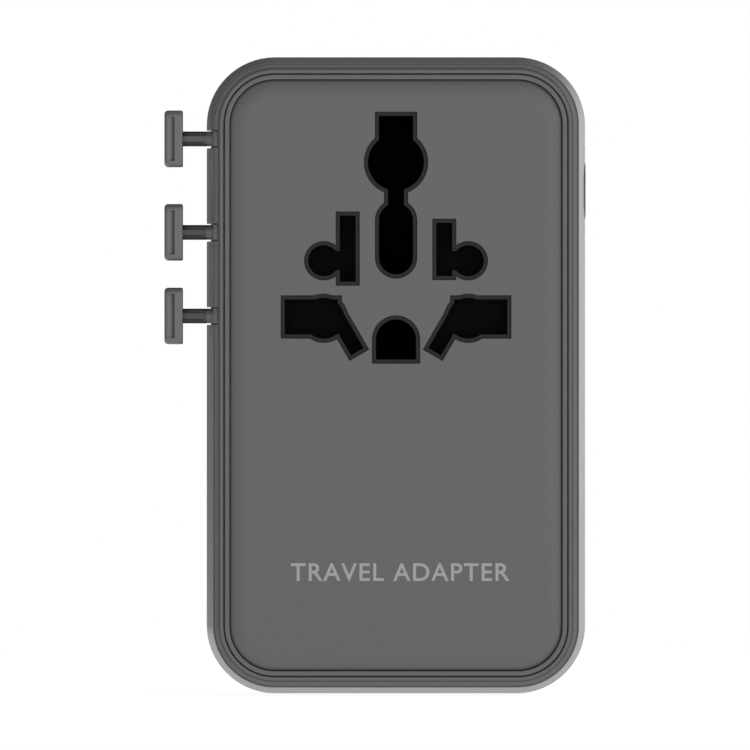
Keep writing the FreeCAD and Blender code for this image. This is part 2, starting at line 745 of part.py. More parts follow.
def coil(name, radius, wire, pitch, along, span, at):
    """A compression spring: a round wire swept along a helix."""
    helix = doc.addObject("Part::Helix", name + "_line")
    bind(helix, "Radius", radius)
    bind(helix, "Pitch", pitch)
    bind(helix, "Height", f"({span[1]}) - ({span[0]}) - 2 * {wire}")
    section = doc.addObject("Part::Circle", name + "_section")
    bind(section, "Radius", wire)
    section.Placement = Placement(Vector(), Rotation(Vector(1, 0, 0), 90))
    bind(section, "Placement.Base.x", radius)
    made = doc.addObject("Part::Sweep", name + "_sweep")
    made.Sections = [section]
    made.Spine = (helix, [])
    made.Solid = True
    made.Frenet = True
    placed = doc.addObject("Part::Compound", name)
    placed.Links = [made]
    placed.Placement = Placement(Vector(), TURNS[along])
    places = dict(zip([axis for axis in "xyz" if axis != along], at))
    places[along] = f"{span[0]} + {wire}"
    for axis, place in places.items():
        bind(placed, f"Placement.Base.{axis}", place)
    return placed


def shutter_spring(name, x, span):
    y = "(shutter_front_y + shutter_back_y) / 2"
    return coil(name, "shutter_spring_radius", "shutter_spring_wire", "1.6", "z", span, (x, y))


# ---------------------------------------------------------------- contacts and guides


def make_line_contact(name, side):
    """A folded brass contact: leaves above and below the flat pin and the round pin, on one spine."""
    def leaf(tag, x, z, y=("-20.5", "-7.0")):
        low, high = sorted((side * x[0], side * x[1]))
        return block(f"{name}_{tag}", (str(low), str(high)), y, (str(z[0]), str(z[1])))

    return join(
        name,
        leaf("spine", (15.4, 16.0), (46.6, 60.2)),
        leaf("uk_low", (8.2, 15.4), (46.6, 47.1)),
        leaf("uk_high", (8.2, 15.4), (52.3, 52.8)),
        leaf("eu_low", (8.0, 15.4), (54.3, 54.8)),
        leaf("eu_high", (8.0, 15.4), (59.4, 59.9)),
        leaf("us_leaf", (7.5, 8.0), (54.3, 59.9), ("-12.0", "-7.0")),
    )


def make_earth_contact():
    """Leaves on each side of the earth openings, on a back strip with windows for the pins."""
    heights = {"high": ("66.0", "76.4"), "mid": ("55.4", "64.6"), "low": ("44.2", "49.0")}
    places = {"high": (3.9, 4.5), "mid": (2.5, 3.1), "low": (2.8, 3.4)}
    back = block("earth_back", ("-4.5", "4.5"), ("-7.6", "-7.0"), ("44.2", "76.4"))
    windows = [
        block("earth_window_low", ("-2.75", "2.75"), ("-8", "-6"), ("43", "50.4")),
        block("earth_window_high", ("-2.4", "2.4"), ("-8", "-6"), ("54.4", "78")),
        rod("earth_window_round", "earth_round_radius + 0.15", "y", ("-8", "-6"), ("0", "earth_round_z")),
    ]
    leaves = []
    for tag, z in heights.items():
        for side in (-1, 1):
            low, high = sorted(side * edge for edge in places[tag])
            leaves.append(block(f"earth_{tag}_{side}", (str(low), str(high)), ("-20.5", "-7.0"), z))
    return join("contact_earth", cut("earth_strip", back, *windows), *leaves)


def make_busbar(name, side):
    """A strip from a line contact back under the sliders, where their pins wipe it."""
    low, high = sorted((side * 9.0, side * 13.0))
    riser = sorted((side * 9.0, side * 15.3))
    strip = block(f"{name}_strip", (str(low), str(high)), ("-6.9", "22.0"), ("45.1", "45.7"))
    foot = block(f"{name}_foot", (str(riser[0]), str(riser[1])), ("-7.5", "-6.9"), ("45.1", "46.5"))
    return join(name, strip, foot)


def make_guide_frame():
    """The partition behind the contacts, the shelf under the sliders and the rail that guides them."""
    wall = block(
        "guide_wall", ("chamber_left", "chamber_right"), ("-5.4", "-4.0"), ("shelf_low", "chamber_top")
    )
    shelf = block("guide_shelf", ("-20.4", "20.4"), ("-5.4", "25.0"), ("shelf_low", "shelf_low + 1.2"))
    rail = block("guide_rail", ("13.5", "15.6"), ("-4.0", "24.6"), ("54.0", "65.4"))
    ways = [
        block("guide_way_left", ("-13.2", "-8.8"), ("-6", "-3"), ("44.8", "46.0")),
        block("guide_way_right", ("8.8", "13.2"), ("-6", "-3"), ("44.8", "46.0")),
    ]
    return cut("guide_frame", join("guide_solid", wall, shelf, rail), *ways)


# ---------------------------------------------------------------- sliders


def make_knob(name, knob_z):
    """The grip outside the slot: a rounded cap, a seam and a lip, on a round-edged stem."""
    centre = ("(knob_front_y + knob_back_y) / 2", knob_z)
    length = "knob_back_y - knob_front_y"
    cap = slab(
        f"{name}_cap", "x", ("knob_outer_x", "knob_seam_x"), centre, length, "knob_tall", "knob_corner",
        (min, "knob_round")
    )
    seam = slab(f"{name}_seam", "x", ("knob_seam_x", "knob_lip_x"), centre, f"{length} - 2 * knob_seam",
                "knob_tall - 2 * knob_seam", "knob_corner - knob_seam")
    lip = slab(
        f"{name}_lip", "x", ("knob_lip_x", "knob_inner_x"), centre, length, "knob_tall", "knob_corner"
    )
    grips = [
        block(f"{name}_grip_{number}", ("knob_outer_x - 0.5", "knob_outer_x + 0.3"),
              (
                  f"{centre[0]} + {place} - 0.3", f"{centre[0]} + {place} + 0.3"
              ), (f"{knob_z} - 2.4", f"{knob_z} + 2.4"))
        for number, place in enumerate(("(-2)", "0", "2"))
    ]
    stem = stem_bar(f"{name}_stem", knob_z, ("knob_inner_x", "-body_width / 2 - 0.2"))
    return cut(f"{name}_knob", join(f"{name}_knob_solid", cap, seam, lip, stem), *grips)


def stem_bar(name, knob_z, x):
    """A flat bar with full-round front and back edges."""
    low = "(stem_front_y + fin_tall / 2)"
    high = "(stem_back_y - fin_tall / 2)"
    middle = block(f"{name}_flat", x, (low, high), (f"{knob_z} - fin_tall / 2", f"{knob_z} + fin_tall / 2"))
    ends = [
        rod(f"{name}_edge_{number}", "fin_tall / 2", "x", x, (y, knob_z)) for number,
        y in enumerate((low, high))
    ]
    return join(name, middle, *ends)


def make_fin(name, knob_z, outside):
    """The tongue in the slot: its outer edge follows the shell."""
    z = (f"{knob_z} - fin_tall / 2", f"{knob_z} + fin_tall / 2")
    stock = block(
        f"{name}_fin_stock", ("-body_width / 2 - 1", "-rabbet_half - fit_gap"),
        ("fin_front_y", "fin_back_y"), z
    )
    fin = overlap(f"{name}_fin", outside, stock)
    root = block(
        f"{name}_fin_root", ("-rabbet_half - fit_gap", "arm_outer_x"), ("arm_front_y", "fin_back_y"), z
    )
    neck = stem_bar(f"{name}_fin_neck", knob_z, ("-body_width / 2 - 0.2", "-body_width / 2 + 1"))
    return [fin, root, neck]


def arm(name, z, back="bar_front_y"):
    """The side arm that joins the tongue to the carriage."""
    return block(f"{name}_arm", ("arm_outer_x", "arm_inner_x"), ("arm_front_y", back), z)


BAR_Y = ("bar_front_y", "bar_back_y")


def necks(prefix, gap):
    """The pins' narrow shanks where they pass through the carriages."""
    made = {}
    for side in (-1, 1):
        half_w = f"(uk_pin_wide / 2 - sleeve_wall + {gap})"
        half_t = f"(uk_pin_thick / 2 - sleeve_wall + {gap})"
        made[f"uk_{side}"] = block(
            f"{prefix}_uk_{side}", (f"{side} * plug_line_x - {half_w}", f"{side} * plug_line_x + {half_w}"),
            ("pin_root_y", "pin_tip_y - uk_pin_short - uk_bare"), (
                f"plug_line_z - {half_t}", f"plug_line_z + {half_t}"
            ),
        )
        made[f"eu_{side}"] = rod(
            f"{prefix}_eu_{side}", f"plug_eu_radius - sleeve_wall + {gap}", "y",
            ("pin_root_y", "pin_tip_y - eu_bare"), (f"{side} * plug_eu_x", "plug_eu_z"),
        )
    return made


def make_uk_carriage(outside):
    z_bar = ("46.4", "52.0")
    parts = [
        block("uk_top_bar", ("arm_outer_x", "20.2"), BAR_Y, ("66.3", "74.8")),
        block("uk_top_boss", ("-4.5", "4.5"), BAR_Y, ("66.3", "77.2")),
        block("uk_web", ("16.0", "20.2"), BAR_Y, ("46.4", "74.8")),
        block("uk_low_bar", ("-15.4", "20.2"), BAR_Y, z_bar),
        arm("uk", ("69.5", "74.8")),
        *make_fin("uk", "uk_knob_z", outside),
    ]
    ways = necks("uk_carriage_way", "0")
    earth = block(
        "uk_carriage_earth_way", ("-uk_pin_thick / 2", "uk_pin_thick / 2"),
        ("bar_front_y - 1", "bar_back_y + 1"),
        ("plug_earth_z - uk_earth_pin_tall / 2", "plug_earth_z + uk_earth_pin_tall / 2"),
    )
    return cut("uk_carriage", join("uk_carriage_solid", *parts), ways["uk_-1"], ways["uk_1"], earth)


def make_eu_carriage(outside):
    parts = [
        block("eu_bar", ("arm_outer_x", "12.9"), BAR_Y, ("59.72", "65.6")),
        arm("eu", ("59.72", "65.6")),
        *make_fin("eu", "eu_knob_z", outside),
    ]
    ways = necks("eu_carriage_way", "0")
    return cut("eu_carriage", join("eu_carriage_solid", *parts), ways["eu_-1"], ways["eu_1"])


def make_us_carriage(outside):
    parts = [
        block("us_bar", ("arm_outer_x", "10.6"), BAR_Y, ("52.5", "59.3")),
        block("us_drop", ("arm_outer_x", "-16.2"), BAR_Y, ("48.0", "59.3")),
        arm("us", ("48.0", "55.0")),
        *make_fin("us", "us_knob_z", outside),
    ]
    through = ("bar_front_y - 1", "bar_back_y + 1")
    bores = [
        rod(f"us_bore_{side}", "journal_radius + journal_gap", "y", through,
            (f"{side} * plug_us_x", "plug_us_z"))
        for side in (-1, 1)
    ]
    return cut("us_carriage", join("us_carriage_solid", *parts), *bores)


# ---------------------------------------------------------------- pins


def pointed(name, x, z, y, chamfer):
    """A flat pin with a bevelled tip at its far end."""
    body = block(f"{name}_stock", x, y, z)
    made = doc.addObject("Part::Chamfer", name)
    made.Base = body
    doc.recompute()
    tip = max(vertex.Point.y for vertex in body.Shape.Vertexes)
    made.Edges = [
        (number, chamfer, chamfer)
        for number, edge in enumerate(body.Shape.Edges, start=1)
        if all(abs(vertex.Point.y - tip) < 1e-4 for vertex in edge.Vertexes)
    ]
    return made


def make_uk_pins():
    tip = "pin_tip_y - uk_pin_short"
    shanks = necks("uk_pin_neck", "0")
    made = {}
    for name, side in (("uk_pin_neutral", 1), ("uk_pin_line", -1)):
        half_w = "uk_pin_wide / 2"
        half_t = "uk_pin_thick / 2"
        head = pointed(
            f"{name}_head", (f"{side} * plug_line_x - {half_w}", f"{side} * plug_line_x + {half_w}"),
            (
                f"plug_line_z - {half_t}", f"plug_line_z + {half_t}"
            ), (f"{tip} - uk_bare", tip), SIZES["pin_chamfer"],
        )
        made[name] = join(name, head, shanks[f"uk_{side}"])
    sleeves = []
    bores = necks("uk_sleeve_bore", "0")
    for side in (-1, 1):
        outer = block(
            f"uk_sleeve_stock_{side}",
            (f"{side} * plug_line_x - uk_pin_wide / 2", f"{side} * plug_line_x + uk_pin_wide / 2"),
            ("bar_back_y", f"{tip} - uk_bare"), (
                "plug_line_z - uk_pin_thick / 2", "plug_line_z + uk_pin_thick / 2"
            ),
        )
        sleeves.append(cut(f"uk_sleeve_{side}", outer, bores[f"uk_{side}"]))
    made["uk_pin_sleeves"] = group("uk_pin_sleeves", *sleeves)
    made["uk_pin_earth"] = pointed(
        "uk_pin_earth", ("-uk_pin_thick / 2", "uk_pin_thick / 2"),
        (
            "plug_earth_z - uk_earth_pin_tall / 2", "plug_earth_z + uk_earth_pin_tall / 2"
        ), ("bar_front_y", "pin_tip_y"),
        SIZES["pin_chamfer"],
    )
    return made


def make_eu_pins():
    shanks = necks("eu_pin_neck", "0")
    bores = necks("eu_sleeve_bore", "0")
    made = {}
    sleeves = []
    for name, side in (("eu_pin_left", -1), ("eu_pin_right", 1)):
        at = (f"{side} * plug_eu_x", "plug_eu_z")
        barrel = rod(
            f"{name}_barrel", "plug_eu_radius", "y",
            ("pin_tip_y - eu_bare", "pin_tip_y - plug_eu_radius / 2"), at
        )
        nose = taper(f"{name}_nose", "plug_eu_radius", "plug_eu_radius * 0.55", "y",
                     ("pin_tip_y - plug_eu_radius / 2", "pin_tip_y"), at)
        made[name] = join(name, barrel, nose, shanks[f"eu_{side}"])
        outer = rod(
            f"eu_sleeve_stock_{side}", "plug_eu_radius", "y", ("bar_back_y", "pin_tip_y - eu_bare"), at
        )
        sleeves.append(cut(f"eu_sleeve_{side}", outer, bores[f"eu_{side}"]))
    made["eu_pin_sleeves"] = group("eu_pin_sleeves", *sleeves)
    return made


def make_us_pins():
    """Two flat blades, each on a round turret that turns in the carriage."""
    made = {}
    for tag, side in (("left", -1), ("right", 1)):
        at = (f"{side} * plug_us_x", "plug_us_z")
        x = (f"{side} * plug_us_x - blade_thick / 2", f"{side} * plug_us_x + blade_thick / 2")
        z = ("plug_us_z - blade_wide / 2", "plug_us_z + blade_wide / 2")
        blade = pointed(f"us_blade_stock_{tag}", x, z, ("bar_back_y + 2", "pin_tip_y"), 0.4)
        eye = rod(
            f"us_blade_eye_{tag}", "1.55", "x", (f"{x[0]} - 1", f"{x[1]} + 1"),
            ("pin_tip_y - 4.2", "plug_us_z")
        )
        made[f"us_blade_{tag}"] = cut(f"us_blade_{tag}", blade, eye)
        drum = rod(f"us_drum_{tag}", "turret_radius", "y", ("bar_back_y + 0.05", "turret_back_y"), at)
        journal = rod(
            f"us_journal_{tag}", "journal_radius", "y", ("bar_front_y - 0.05", "bar_back_y + 0.05"), at
        )
        head = rod(f"us_head_{tag}", "2.7", "y", ("bar_front_y - 0.75", "bar_front_y - 0.05"), at)
        way = block(f"us_turret_way_{tag}", x, ("bar_back_y + 2", "turret_back_y + 1"), z)
        made[f"us_turret_{tag}"] = cut(
            f"us_turret_{tag}", join(f"us_turret_solid_{tag}", drum, journal, head), way
        )
    return made


# ---------------------------------------------------------------- release button


def make_release_ring(outside):
    """The ring round the button: its face follows the housing, with a shallow dish in it."""
    at = ("button_y", "button_z")
    stock = rod("ring_stock", "ring_radius", "x", ("cavity_width / 2", "body_width / 2 + 1"), at)
    outer = overlap("ring_outer", outside, stock)
    bore = rod("ring_bore", "button_radius + 0.08", "x", ("20", "30"), at)
    dish = taper("ring_dish", "button_radius + 0.3", "ring_radius - 0.5", "x",
                 ("body_width / 2 - ring_dish_depth", "body_width / 2 + 0.02"), at)
    return cut("release_ring", outer, bore, dish)


def make_release_button():
    at = ("button_y", "button_z")
    cap = rod("button_cap", "button_radius", "x", ("cavity_width / 2 - 0.5", "button_face_x - 0.25"), at)
    crown = taper(
        "button_crown", "button_radius", "button_radius - 0.3", "x",
        ("button_face_x - 0.25", "button_face_x"), at
    )
    flange = rod(
        "button_flange", "flange_radius", "x", ("cavity_width / 2 - 0.9", "cavity_width / 2 - 0.15"), at
    )
    seat = rod("button_seat", "2.4", "x", ("cavity_width / 2 - 2.5", "cavity_width / 2 - 0.9"), at)
    spring_way = rod("button_spring_way", "1.9", "x", ("18", "cavity_width / 2 - 1.2"), at)
    return cut("release_button", join("button_solid", cap, crown, flange, seat), spring_way)


def make_lock_plate():
    """The sliding lock behind the button: a plate with a window round the button's seat."""
    plate = block("lock_stock", ("21.52", "22.2"), ("-14.0", "18.0"), ("61.0", "71.7"))
    window = rod("lock_window", "flange_radius", "x", ("20", "24"), ("button_y", "button_z"))
    relief = block("lock_relief", ("20", "24"), ("0", "16"), ("63.5", "69.2"))
    return cut("lock_plate", plate, window, relief)


# ---------------------------------------------------------------- fuse drawer


def make_drawer():
    tray = block("drawer_tray", ("-drawer_half", "drawer_half"), ("drawer_front_y", "body_depth / 2 - 1.2"),
                 ("drawer_low", "drawer_high"))
    pocket = block("drawer_pocket", ("-drawer_half + 0.6", "drawer_half - 0.6"),
                   (
                       "drawer_front_y + 0.6", "body_depth / 2 - 1.5"
                   ), ("drawer_low + 0.4", "drawer_high + 1"))
    lid = slab(
        "drawer_lid", "y", ("body_depth / 2 - 1.2", "body_depth / 2 - 0.05"),
        ("0", "(drawer_low + drawer_high) / 2"),
        "2 * drawer_half + 2", "drawer_high - drawer_low + 2", "1.2",
    )
    nail = block("drawer_nail", ("-2.5", "2.5"), ("body_depth / 2 - 0.6", "body_depth / 2 + 1"),
                 ("drawer_low - 1.2", "drawer_low + 0.1"))
    ways = [
        block(f"drawer_contact_way_{side}", fuse_contact_x(side, "0.2"),
              ("drawer_front_y - 1", "drawer_front_y + 1"), ("fuse_z - 1.2", "fuse_z + 1.2"))
        for side in (-1, 1)
    ]
    return cut("fuse_drawer", join("drawer_solid", cut("drawer_box", tray, pocket), lid), nail, *ways)


def fuse_contact_x(side, gap):
    """The width of one fuse contact, wider each way by a gap."""
    return (f"{side} * 7.75 - 0.75 - {gap}", f"{side} * 7.75 + 0.75 + {gap}")


def make_fuse_contacts():
    """Two strips that hang from the shelf and reach through the drawer's front wall to the fuse's caps."""
    made = []
    for side in (-1, 1):
        leg = block(
            f"fuse_leg_{side}", fuse_contact_x(side, "0"), ("12.0", "12.6"),
            ("fuse_z - 0.35", "shelf_low")
        )
        finger = block(f"fuse_finger_{side}", fuse_contact_x(side, "0"), ("12.0", "drawer_front_y + 0.65"),
                       ("fuse_z - 0.35", "fuse_z + 0.35"))
        made.append(join(f"fuse_contact_{side}", leg, finger))
    return group("fuse_contacts", *made)


def make_fuse(name, y):
    """A glass fuse: a tube between two caps."""
    at = (y, "fuse_z")
    tube = rod(f"{name}_tube", "fuse_radius - 0.2", "x", ("-fuse_half + 4", "fuse_half - 4"), at)
    caps = [rod(f"{name}_cap_{side}", "fuse_radius", "x", cap_span(side), at) for side in (-1, 1)]
    return join(name, tube, *caps)


def cap_span(side):
    """Where a fuse's metal cap runs, at one end of the fuse."""
    return ("-fuse_half", "-fuse_half + 4.5") if side < 0 else ("fuse_half - 4.5", "fuse_half")


# ---------------------------------------------------------------- electronics


def make_board_parts():
    made = {}
    made["main_board"] = block("main_board", ("-20", "20"), ("2.0", "3.2"), ("14.6", "42.8"))
    core = block("core_stock", ("-17", "-1"), ("-13.4", "2.0"), ("16", "28"))
    window = block("core_window", ("-14.5", "-3.5"), ("-16", "4"), ("18.4", "25.6"))
    post = block("core_post", ("-11.4", "-6.6"), ("-13.4", "2.0"), ("18.4", "25.6"))
    made["transformer_core"] = join("transformer_core", cut("core_frame", core, window), post)
    coil_stock = block("winding_stock", ("-14.3", "-3.7"), ("-11.6", "1.8"), ("18.6", "25.4"))
    coil_way = block("winding_way", ("-11.4", "-6.6"), ("-14", "4"), ("17", "27"))
    made["transformer_winding"] = cut("transformer_winding", coil_stock, coil_way)
    made["bulk_capacitors"] = group("bulk_capacitors", *[
        rod(
            f"capacitor_{number}", "4.9", "z", ("15.5", "28.4"), (x, "-6.5")
        ) for number, x in enumerate(("5", "15.4"))
    ])
    made["film_capacitor"] = block("film_capacitor", ("-18", "-4"), ("3.2", "11.4"), ("16", "28"))
    ring = doc.addObject("Part::Torus", "choke_ring")
    bind(ring, "Radius1", "5.4")
    bind(ring, "Radius2", "2.3")
    ring.Placement = Placement(Vector(), Rotation(Vector(1, 0, 0), 90))
    for axis, place in zip("xyz", ("8", "5.6", "23")):
        bind(ring, f"Placement.Base.{axis}", place)
    made["choke"] = group("choke", ring)
    plate = block("spreader_plate", ("-21", "21"), ("-20.4", "-19.4"), ("15.5", "28.6"))
    foot = block("spreader_foot", ("-21", "21"), ("-20.4", "-14.5"), ("14.5", "15.5"))
    made["heat_spreader"] = join("heat_spreader", plate, foot)
    made["usb_board"] = block(
        "usb_board", ("-19.5", "19.5"), ("-13.8", "14.6"), ("port_top", "port_top + 1.0")
    )
    return made


def make_ports():
    made = {}
    tongues = []
    for name, (side, depth, wide, thick) in PORTS.items():
        centre = (f"{side} * port_x", f"{depth} * port_y")
        corner = "c_thick / 2 - 0.02" if wide == "c_wide" else "0.4"
        shell = slab(f"{name}_shell", "z", ("port_low", "port_top"), centre, wide, thick, corner)
        bore_corner = f"{corner} - port_wall" if wide == "c_wide" else "0.2"
        bore = slab(f"{name}_bore", "z", ("0", "port_top - 0.4"), centre, f"{wide} - 2 * port_wall",
                    f"{thick} - 2 * port_wall", bore_corner)
        made[name] = cut(name, shell, bore)
        half_w = "3.3" if wide == "c_wide" else "5.5"
        low, high = ("-0.35", "0.35") if wide == "c_wide" else ("0.45", "2.25")
        x, y = centre
        tongue_x = (f"{x} - {half_w}", f"{x} + {half_w}")
        tongue_y = (f"{y} + {low}", f"{y} + {high}")
        tongues.append(block(f"{name}_tongue", tongue_x, tongue_y, ("tongue_low", "port_top - 0.4")))
    made["usb_tongues"] = group("usb_tongues", *tongues)
    return made


# ---------------------------------------------------------------- assembly


def build():
    fill_sheet()
    outside = housing_body()
    nodes = {
        "main_housing": make_housing(outside),
        "back_cover": make_back_cover(),
        "cover_screws": make_screws(),
        "front_bezel": make_front_bezel(),
        "face_trim_ring": make_trim_ring(),
        "face_plate": make_face_plate(),
        "socket_frame": make_socket_frame(),
        "shutter_retainer": make_retainer(),
        "lower_shutter": make_lower_shutter(),
        "lower_shutter_spring": shutter_spring(
            "lower_shutter_spring", "-16.4", ("chamber_bottom + chamber_wall", "50.6")
        ),
        "contact_line": make_line_contact("contact_line", 1),
        "contact_neutral": make_line_contact("contact_neutral", -1),
        "contact_earth": make_earth_contact(),
        "busbar_line": make_busbar("busbar_line", 1),
        "busbar_neutral": make_busbar("busbar_neutral", -1),
        "guide_frame": make_guide_frame(),
        "uk_carriage": make_uk_carriage(outside),
        "eu_carriage": make_eu_carriage(outside),
        "us_carriage": make_us_carriage(outside),
        "release_ring": make_release_ring(outside),
        "release_button": make_release_button(),
        "release_spring": coil("release_spring", "1.5", "0.18", "0.9", "x",
                               (
                                   "chamber_right", "cavity_width / 2 - 1.3 - button_travel"
                               ), ("button_y", "button_z")),
        "lock_plate": make_lock_plate(),
        "fuse_drawer": make_drawer(),
        "fuse_contacts": make_fuse_contacts(),
        "fuse": make_fuse("fuse", "drawer_front_y + 0.7 + fuse_radius"),
        "spare_fuse": make_fuse("spare_fuse", "drawer_front_y + 0.9 + 3 * fuse_radius"),
        **make_uk_pins(),
        **make_eu_pins(),
        **make_us_pins(),
        **make_board_parts(),
        **make_ports(),
    }
    for side, name in ((-1, "left"), (1, "right")):
        nodes[f"upper_shutter_{name}"] = make_upper_shutter(side)
        nodes[f"upper_shutter_spring_{name}"] = shutter_spring(
            f"upper_shutter_spring_{name}", str(side * 13.4), ("55.3", "chamber_top - chamber_wall"))
    for name, (knob_z, _) in SLIDERS.items():
        nodes[f"{name}_knob"] = make_knob(name, knob_z)
    return nodes


def check(nodes):
    doc.recompute()
    for thing in doc.Objects:
        if {"Invalid", "Error"} & set(thing.State):
            raise RuntimeError(f"{thing.Name} failed: {thing.State}")
    for name, node in nodes.items():
        node.Label = name
        if node.Shape.isNull() or not node.Shape.isValid() or not node.Shape.Solids:
            raise RuntimeError(f"{name} has no valid shape")
        print(f"{name}: {len(node.Shape.Solids)} solids, {node.Shape.Volume:.1f} mm3")


def export(nodes):
    os.makedirs("parts", exist_ok=True)
    for name, node in nodes.items():
        node.Shape.exportStep(os.path.join("parts", name + ".step"))


made_nodes = build()
check(made_nodes)
export(made_nodes)
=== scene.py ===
"""The universal travel adapter in a plain studio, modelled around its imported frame.

Pieces are built in millimetres, and finish_piece turns them to metres in the frame's axes:
x to the right, y from the socket face to the pins, z up from the foot.
"""

import json
import math

import bpy
from mathutils import Matrix, Vector


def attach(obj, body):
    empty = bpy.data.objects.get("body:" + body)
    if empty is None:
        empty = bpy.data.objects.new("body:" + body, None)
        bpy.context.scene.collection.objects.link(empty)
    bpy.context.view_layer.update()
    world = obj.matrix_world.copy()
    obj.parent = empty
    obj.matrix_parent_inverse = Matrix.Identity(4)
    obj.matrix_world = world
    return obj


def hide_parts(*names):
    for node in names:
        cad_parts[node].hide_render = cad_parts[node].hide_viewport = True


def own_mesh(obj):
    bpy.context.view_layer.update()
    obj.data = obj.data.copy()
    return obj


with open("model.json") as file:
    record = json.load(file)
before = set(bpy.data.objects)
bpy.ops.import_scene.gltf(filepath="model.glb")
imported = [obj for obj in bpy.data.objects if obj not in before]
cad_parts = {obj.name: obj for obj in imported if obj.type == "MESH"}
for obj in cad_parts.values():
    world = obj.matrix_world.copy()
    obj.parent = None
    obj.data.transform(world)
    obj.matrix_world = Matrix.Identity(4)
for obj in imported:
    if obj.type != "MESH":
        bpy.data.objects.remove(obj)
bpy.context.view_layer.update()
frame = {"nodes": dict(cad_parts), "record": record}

MM = 0.001

# The body, in millimetres: its outline, and the levels it passes through from front to back.
WIDTH, HEIGHT = 50.0, 84.0
MIDDLE = HEIGHT / 2
CORNER = 9.0
FRONT_Y, RIM_Y, CREST_Y, WAIST_Y, JOINT_Y, BACK_Y = -28.0, -27.2, -8.0, -2.0, 26.0, 28.0
CREST_INSET = 1.0
JOINT_WIDTH = 48.94
CREST_ROUNDING = 0.6

# How far in from the outline each ring of the front starts.
RIM_INSET, LIP_INSET, FACE_INSET = 1.15, 2.5, 3.2
SEAT_Y = -26.7

# The three sliders: the height of each knob, and where its slot ends at the back.
KNOB_Z = {"uk": 73.1, "eu": 60.8, "us": 49.8}
SLOT_END = {"uk": 4.7, "eu": 1.1, "us": -1.4}
SLOT_HALF, STEM_HALF, GRIP_HALF = 1.15, 0.97, 3.725


# ---------------------------------------------------------------- modelling by hand


def deselect():
    bpy.ops.object.select_all(action="DESELECT")


def activate(piece):
    """Selects the piece alone and makes it the active object."""
    deselect()
    piece.select_set(True)
    bpy.context.view_layer.objects.active = piece


def named(name):
    """The primitive just added, with its place, turn and size put into its mesh."""
    piece = bpy.context.object
    piece.name = name
    piece.data.name = name
    bpy.ops.object.transform_apply(location=True, rotation=True, scale=True)
    return piece


def block(name, x, y, z):
    """A box from its low and high sides."""
    deselect()
    centre = [(low + high) / 2 for low, high in (x, y, z)]
    size = [high - low for low, high in (x, y, z)]
    bpy.ops.mesh.primitive_cube_add(size=1, location=centre, scale=size)
    return named(name)


TURNS = {"x": (0, math.pi / 2, 0), "y": (math.pi / 2, 0, 0), "z": (0, 0, 0)}


def rod(name, radius, along, span, at, sides=64):
    """A cylinder along an axis, at a place on the other two axes."""
    deselect()
    axis = "xyz".index(along)
    centre = list(at)
    centre.insert(axis, (span[0] + span[1]) / 2)
    bpy.ops.mesh.primitive_cylinder_add(
        vertices=sides, radius=radius, depth=span[1] - span[0],
        location=centre, rotation=TURNS[along],
    )
    return named(name)


def start_edit(piece, wanted=None):
    """Opens edit mode with the wanted faces selected, or all of them."""
    activate(piece)
    bpy.ops.object.mode_set(mode="EDIT")
    bpy.ops.mesh.select_mode(type="FACE")
    bpy.ops.mesh.select_all(action="SELECT" if wanted is None else "DESELECT")
    if wanted is not None:
        bpy.ops.object.mode_set(mode="OBJECT")
        for face in piece.data.polygons:
            face.select = wanted(face.center, face.normal)
        bpy.ops.object.mode_set(mode="EDIT")


def end_edit():
    bpy.ops.object.mode_set(mode="OBJECT")


def body_outline(name, y, inset=0):
    """The body's rounded outline, drawn in by inset: a sheet facing front, left in edit mode."""
    deselect()
    bpy.ops.mesh.primitive_plane_add(size=1, location=(0, y, MIDDLE), rotation=(math.pi / 2, 0, 0))
    bpy.context.object.scale = (WIDTH - 2 * inset, HEIGHT - 2 * inset, 1)
    piece = named(name)
    start_edit(piece)
    bpy.ops.mesh.bevel(offset=CORNER - inset, segments=16, affect="VERTICES")
    bpy.ops.mesh.select_mode(type="FACE")
    bpy.ops.mesh.select_all(action="SELECT")
    return piece


def step(inset, forward):
    """Draws the selected face inwards and forwards; with no inset it is a straight wall."""
    if inset:
        bpy.ops.mesh.inset(thickness=inset, depth=forward)
    else:
        bpy.ops.mesh.extrude_region_move(TRANSFORM_OT_translate={"value": (0, -forward, 0)})


def follow(profile):
    """Takes the selected face through (inset, y) places in turn, as a tool follows a profile."""
    for (inset, y), (next_inset, next_y) in zip(profile, profile[1:]):
        step(next_inset - inset, y - next_y)


def stretch(x_factor):
    """Widens what is selected about the body's middle."""
    bpy.ops.transform.resize(
        value=(x_factor, 1, 1), center_override=(0, 0, MIDDLE), orient_type="GLOBAL"
    )


def open_and_bridge(piece):
    """Takes away a profile's two end faces and joins their edges, so the piece is a closed ring."""
    bpy.ops.mesh.select_all(action="DESELECT")
    end_edit()
    for face in piece.data.polygons:
        face.select = len(face.vertices) > 4
    bpy.ops.object.mode_set(mode="EDIT")
    bpy.ops.mesh.delete(type="ONLY_FACE")
    bpy.ops.mesh.select_mode(type="EDGE")
    bpy.ops.mesh.select_all(action="DESELECT")
    bpy.ops.mesh.select_non_manifold()
    bpy.ops.mesh.bridge_edge_loops()
    outwards_and_end()


def outwards_and_end():
    """Turns every face outwards and leaves edit mode."""
    bpy.ops.mesh.select_all(action="SELECT")
    bpy.ops.mesh.normals_make_consistent(inside=False)
    end_edit()


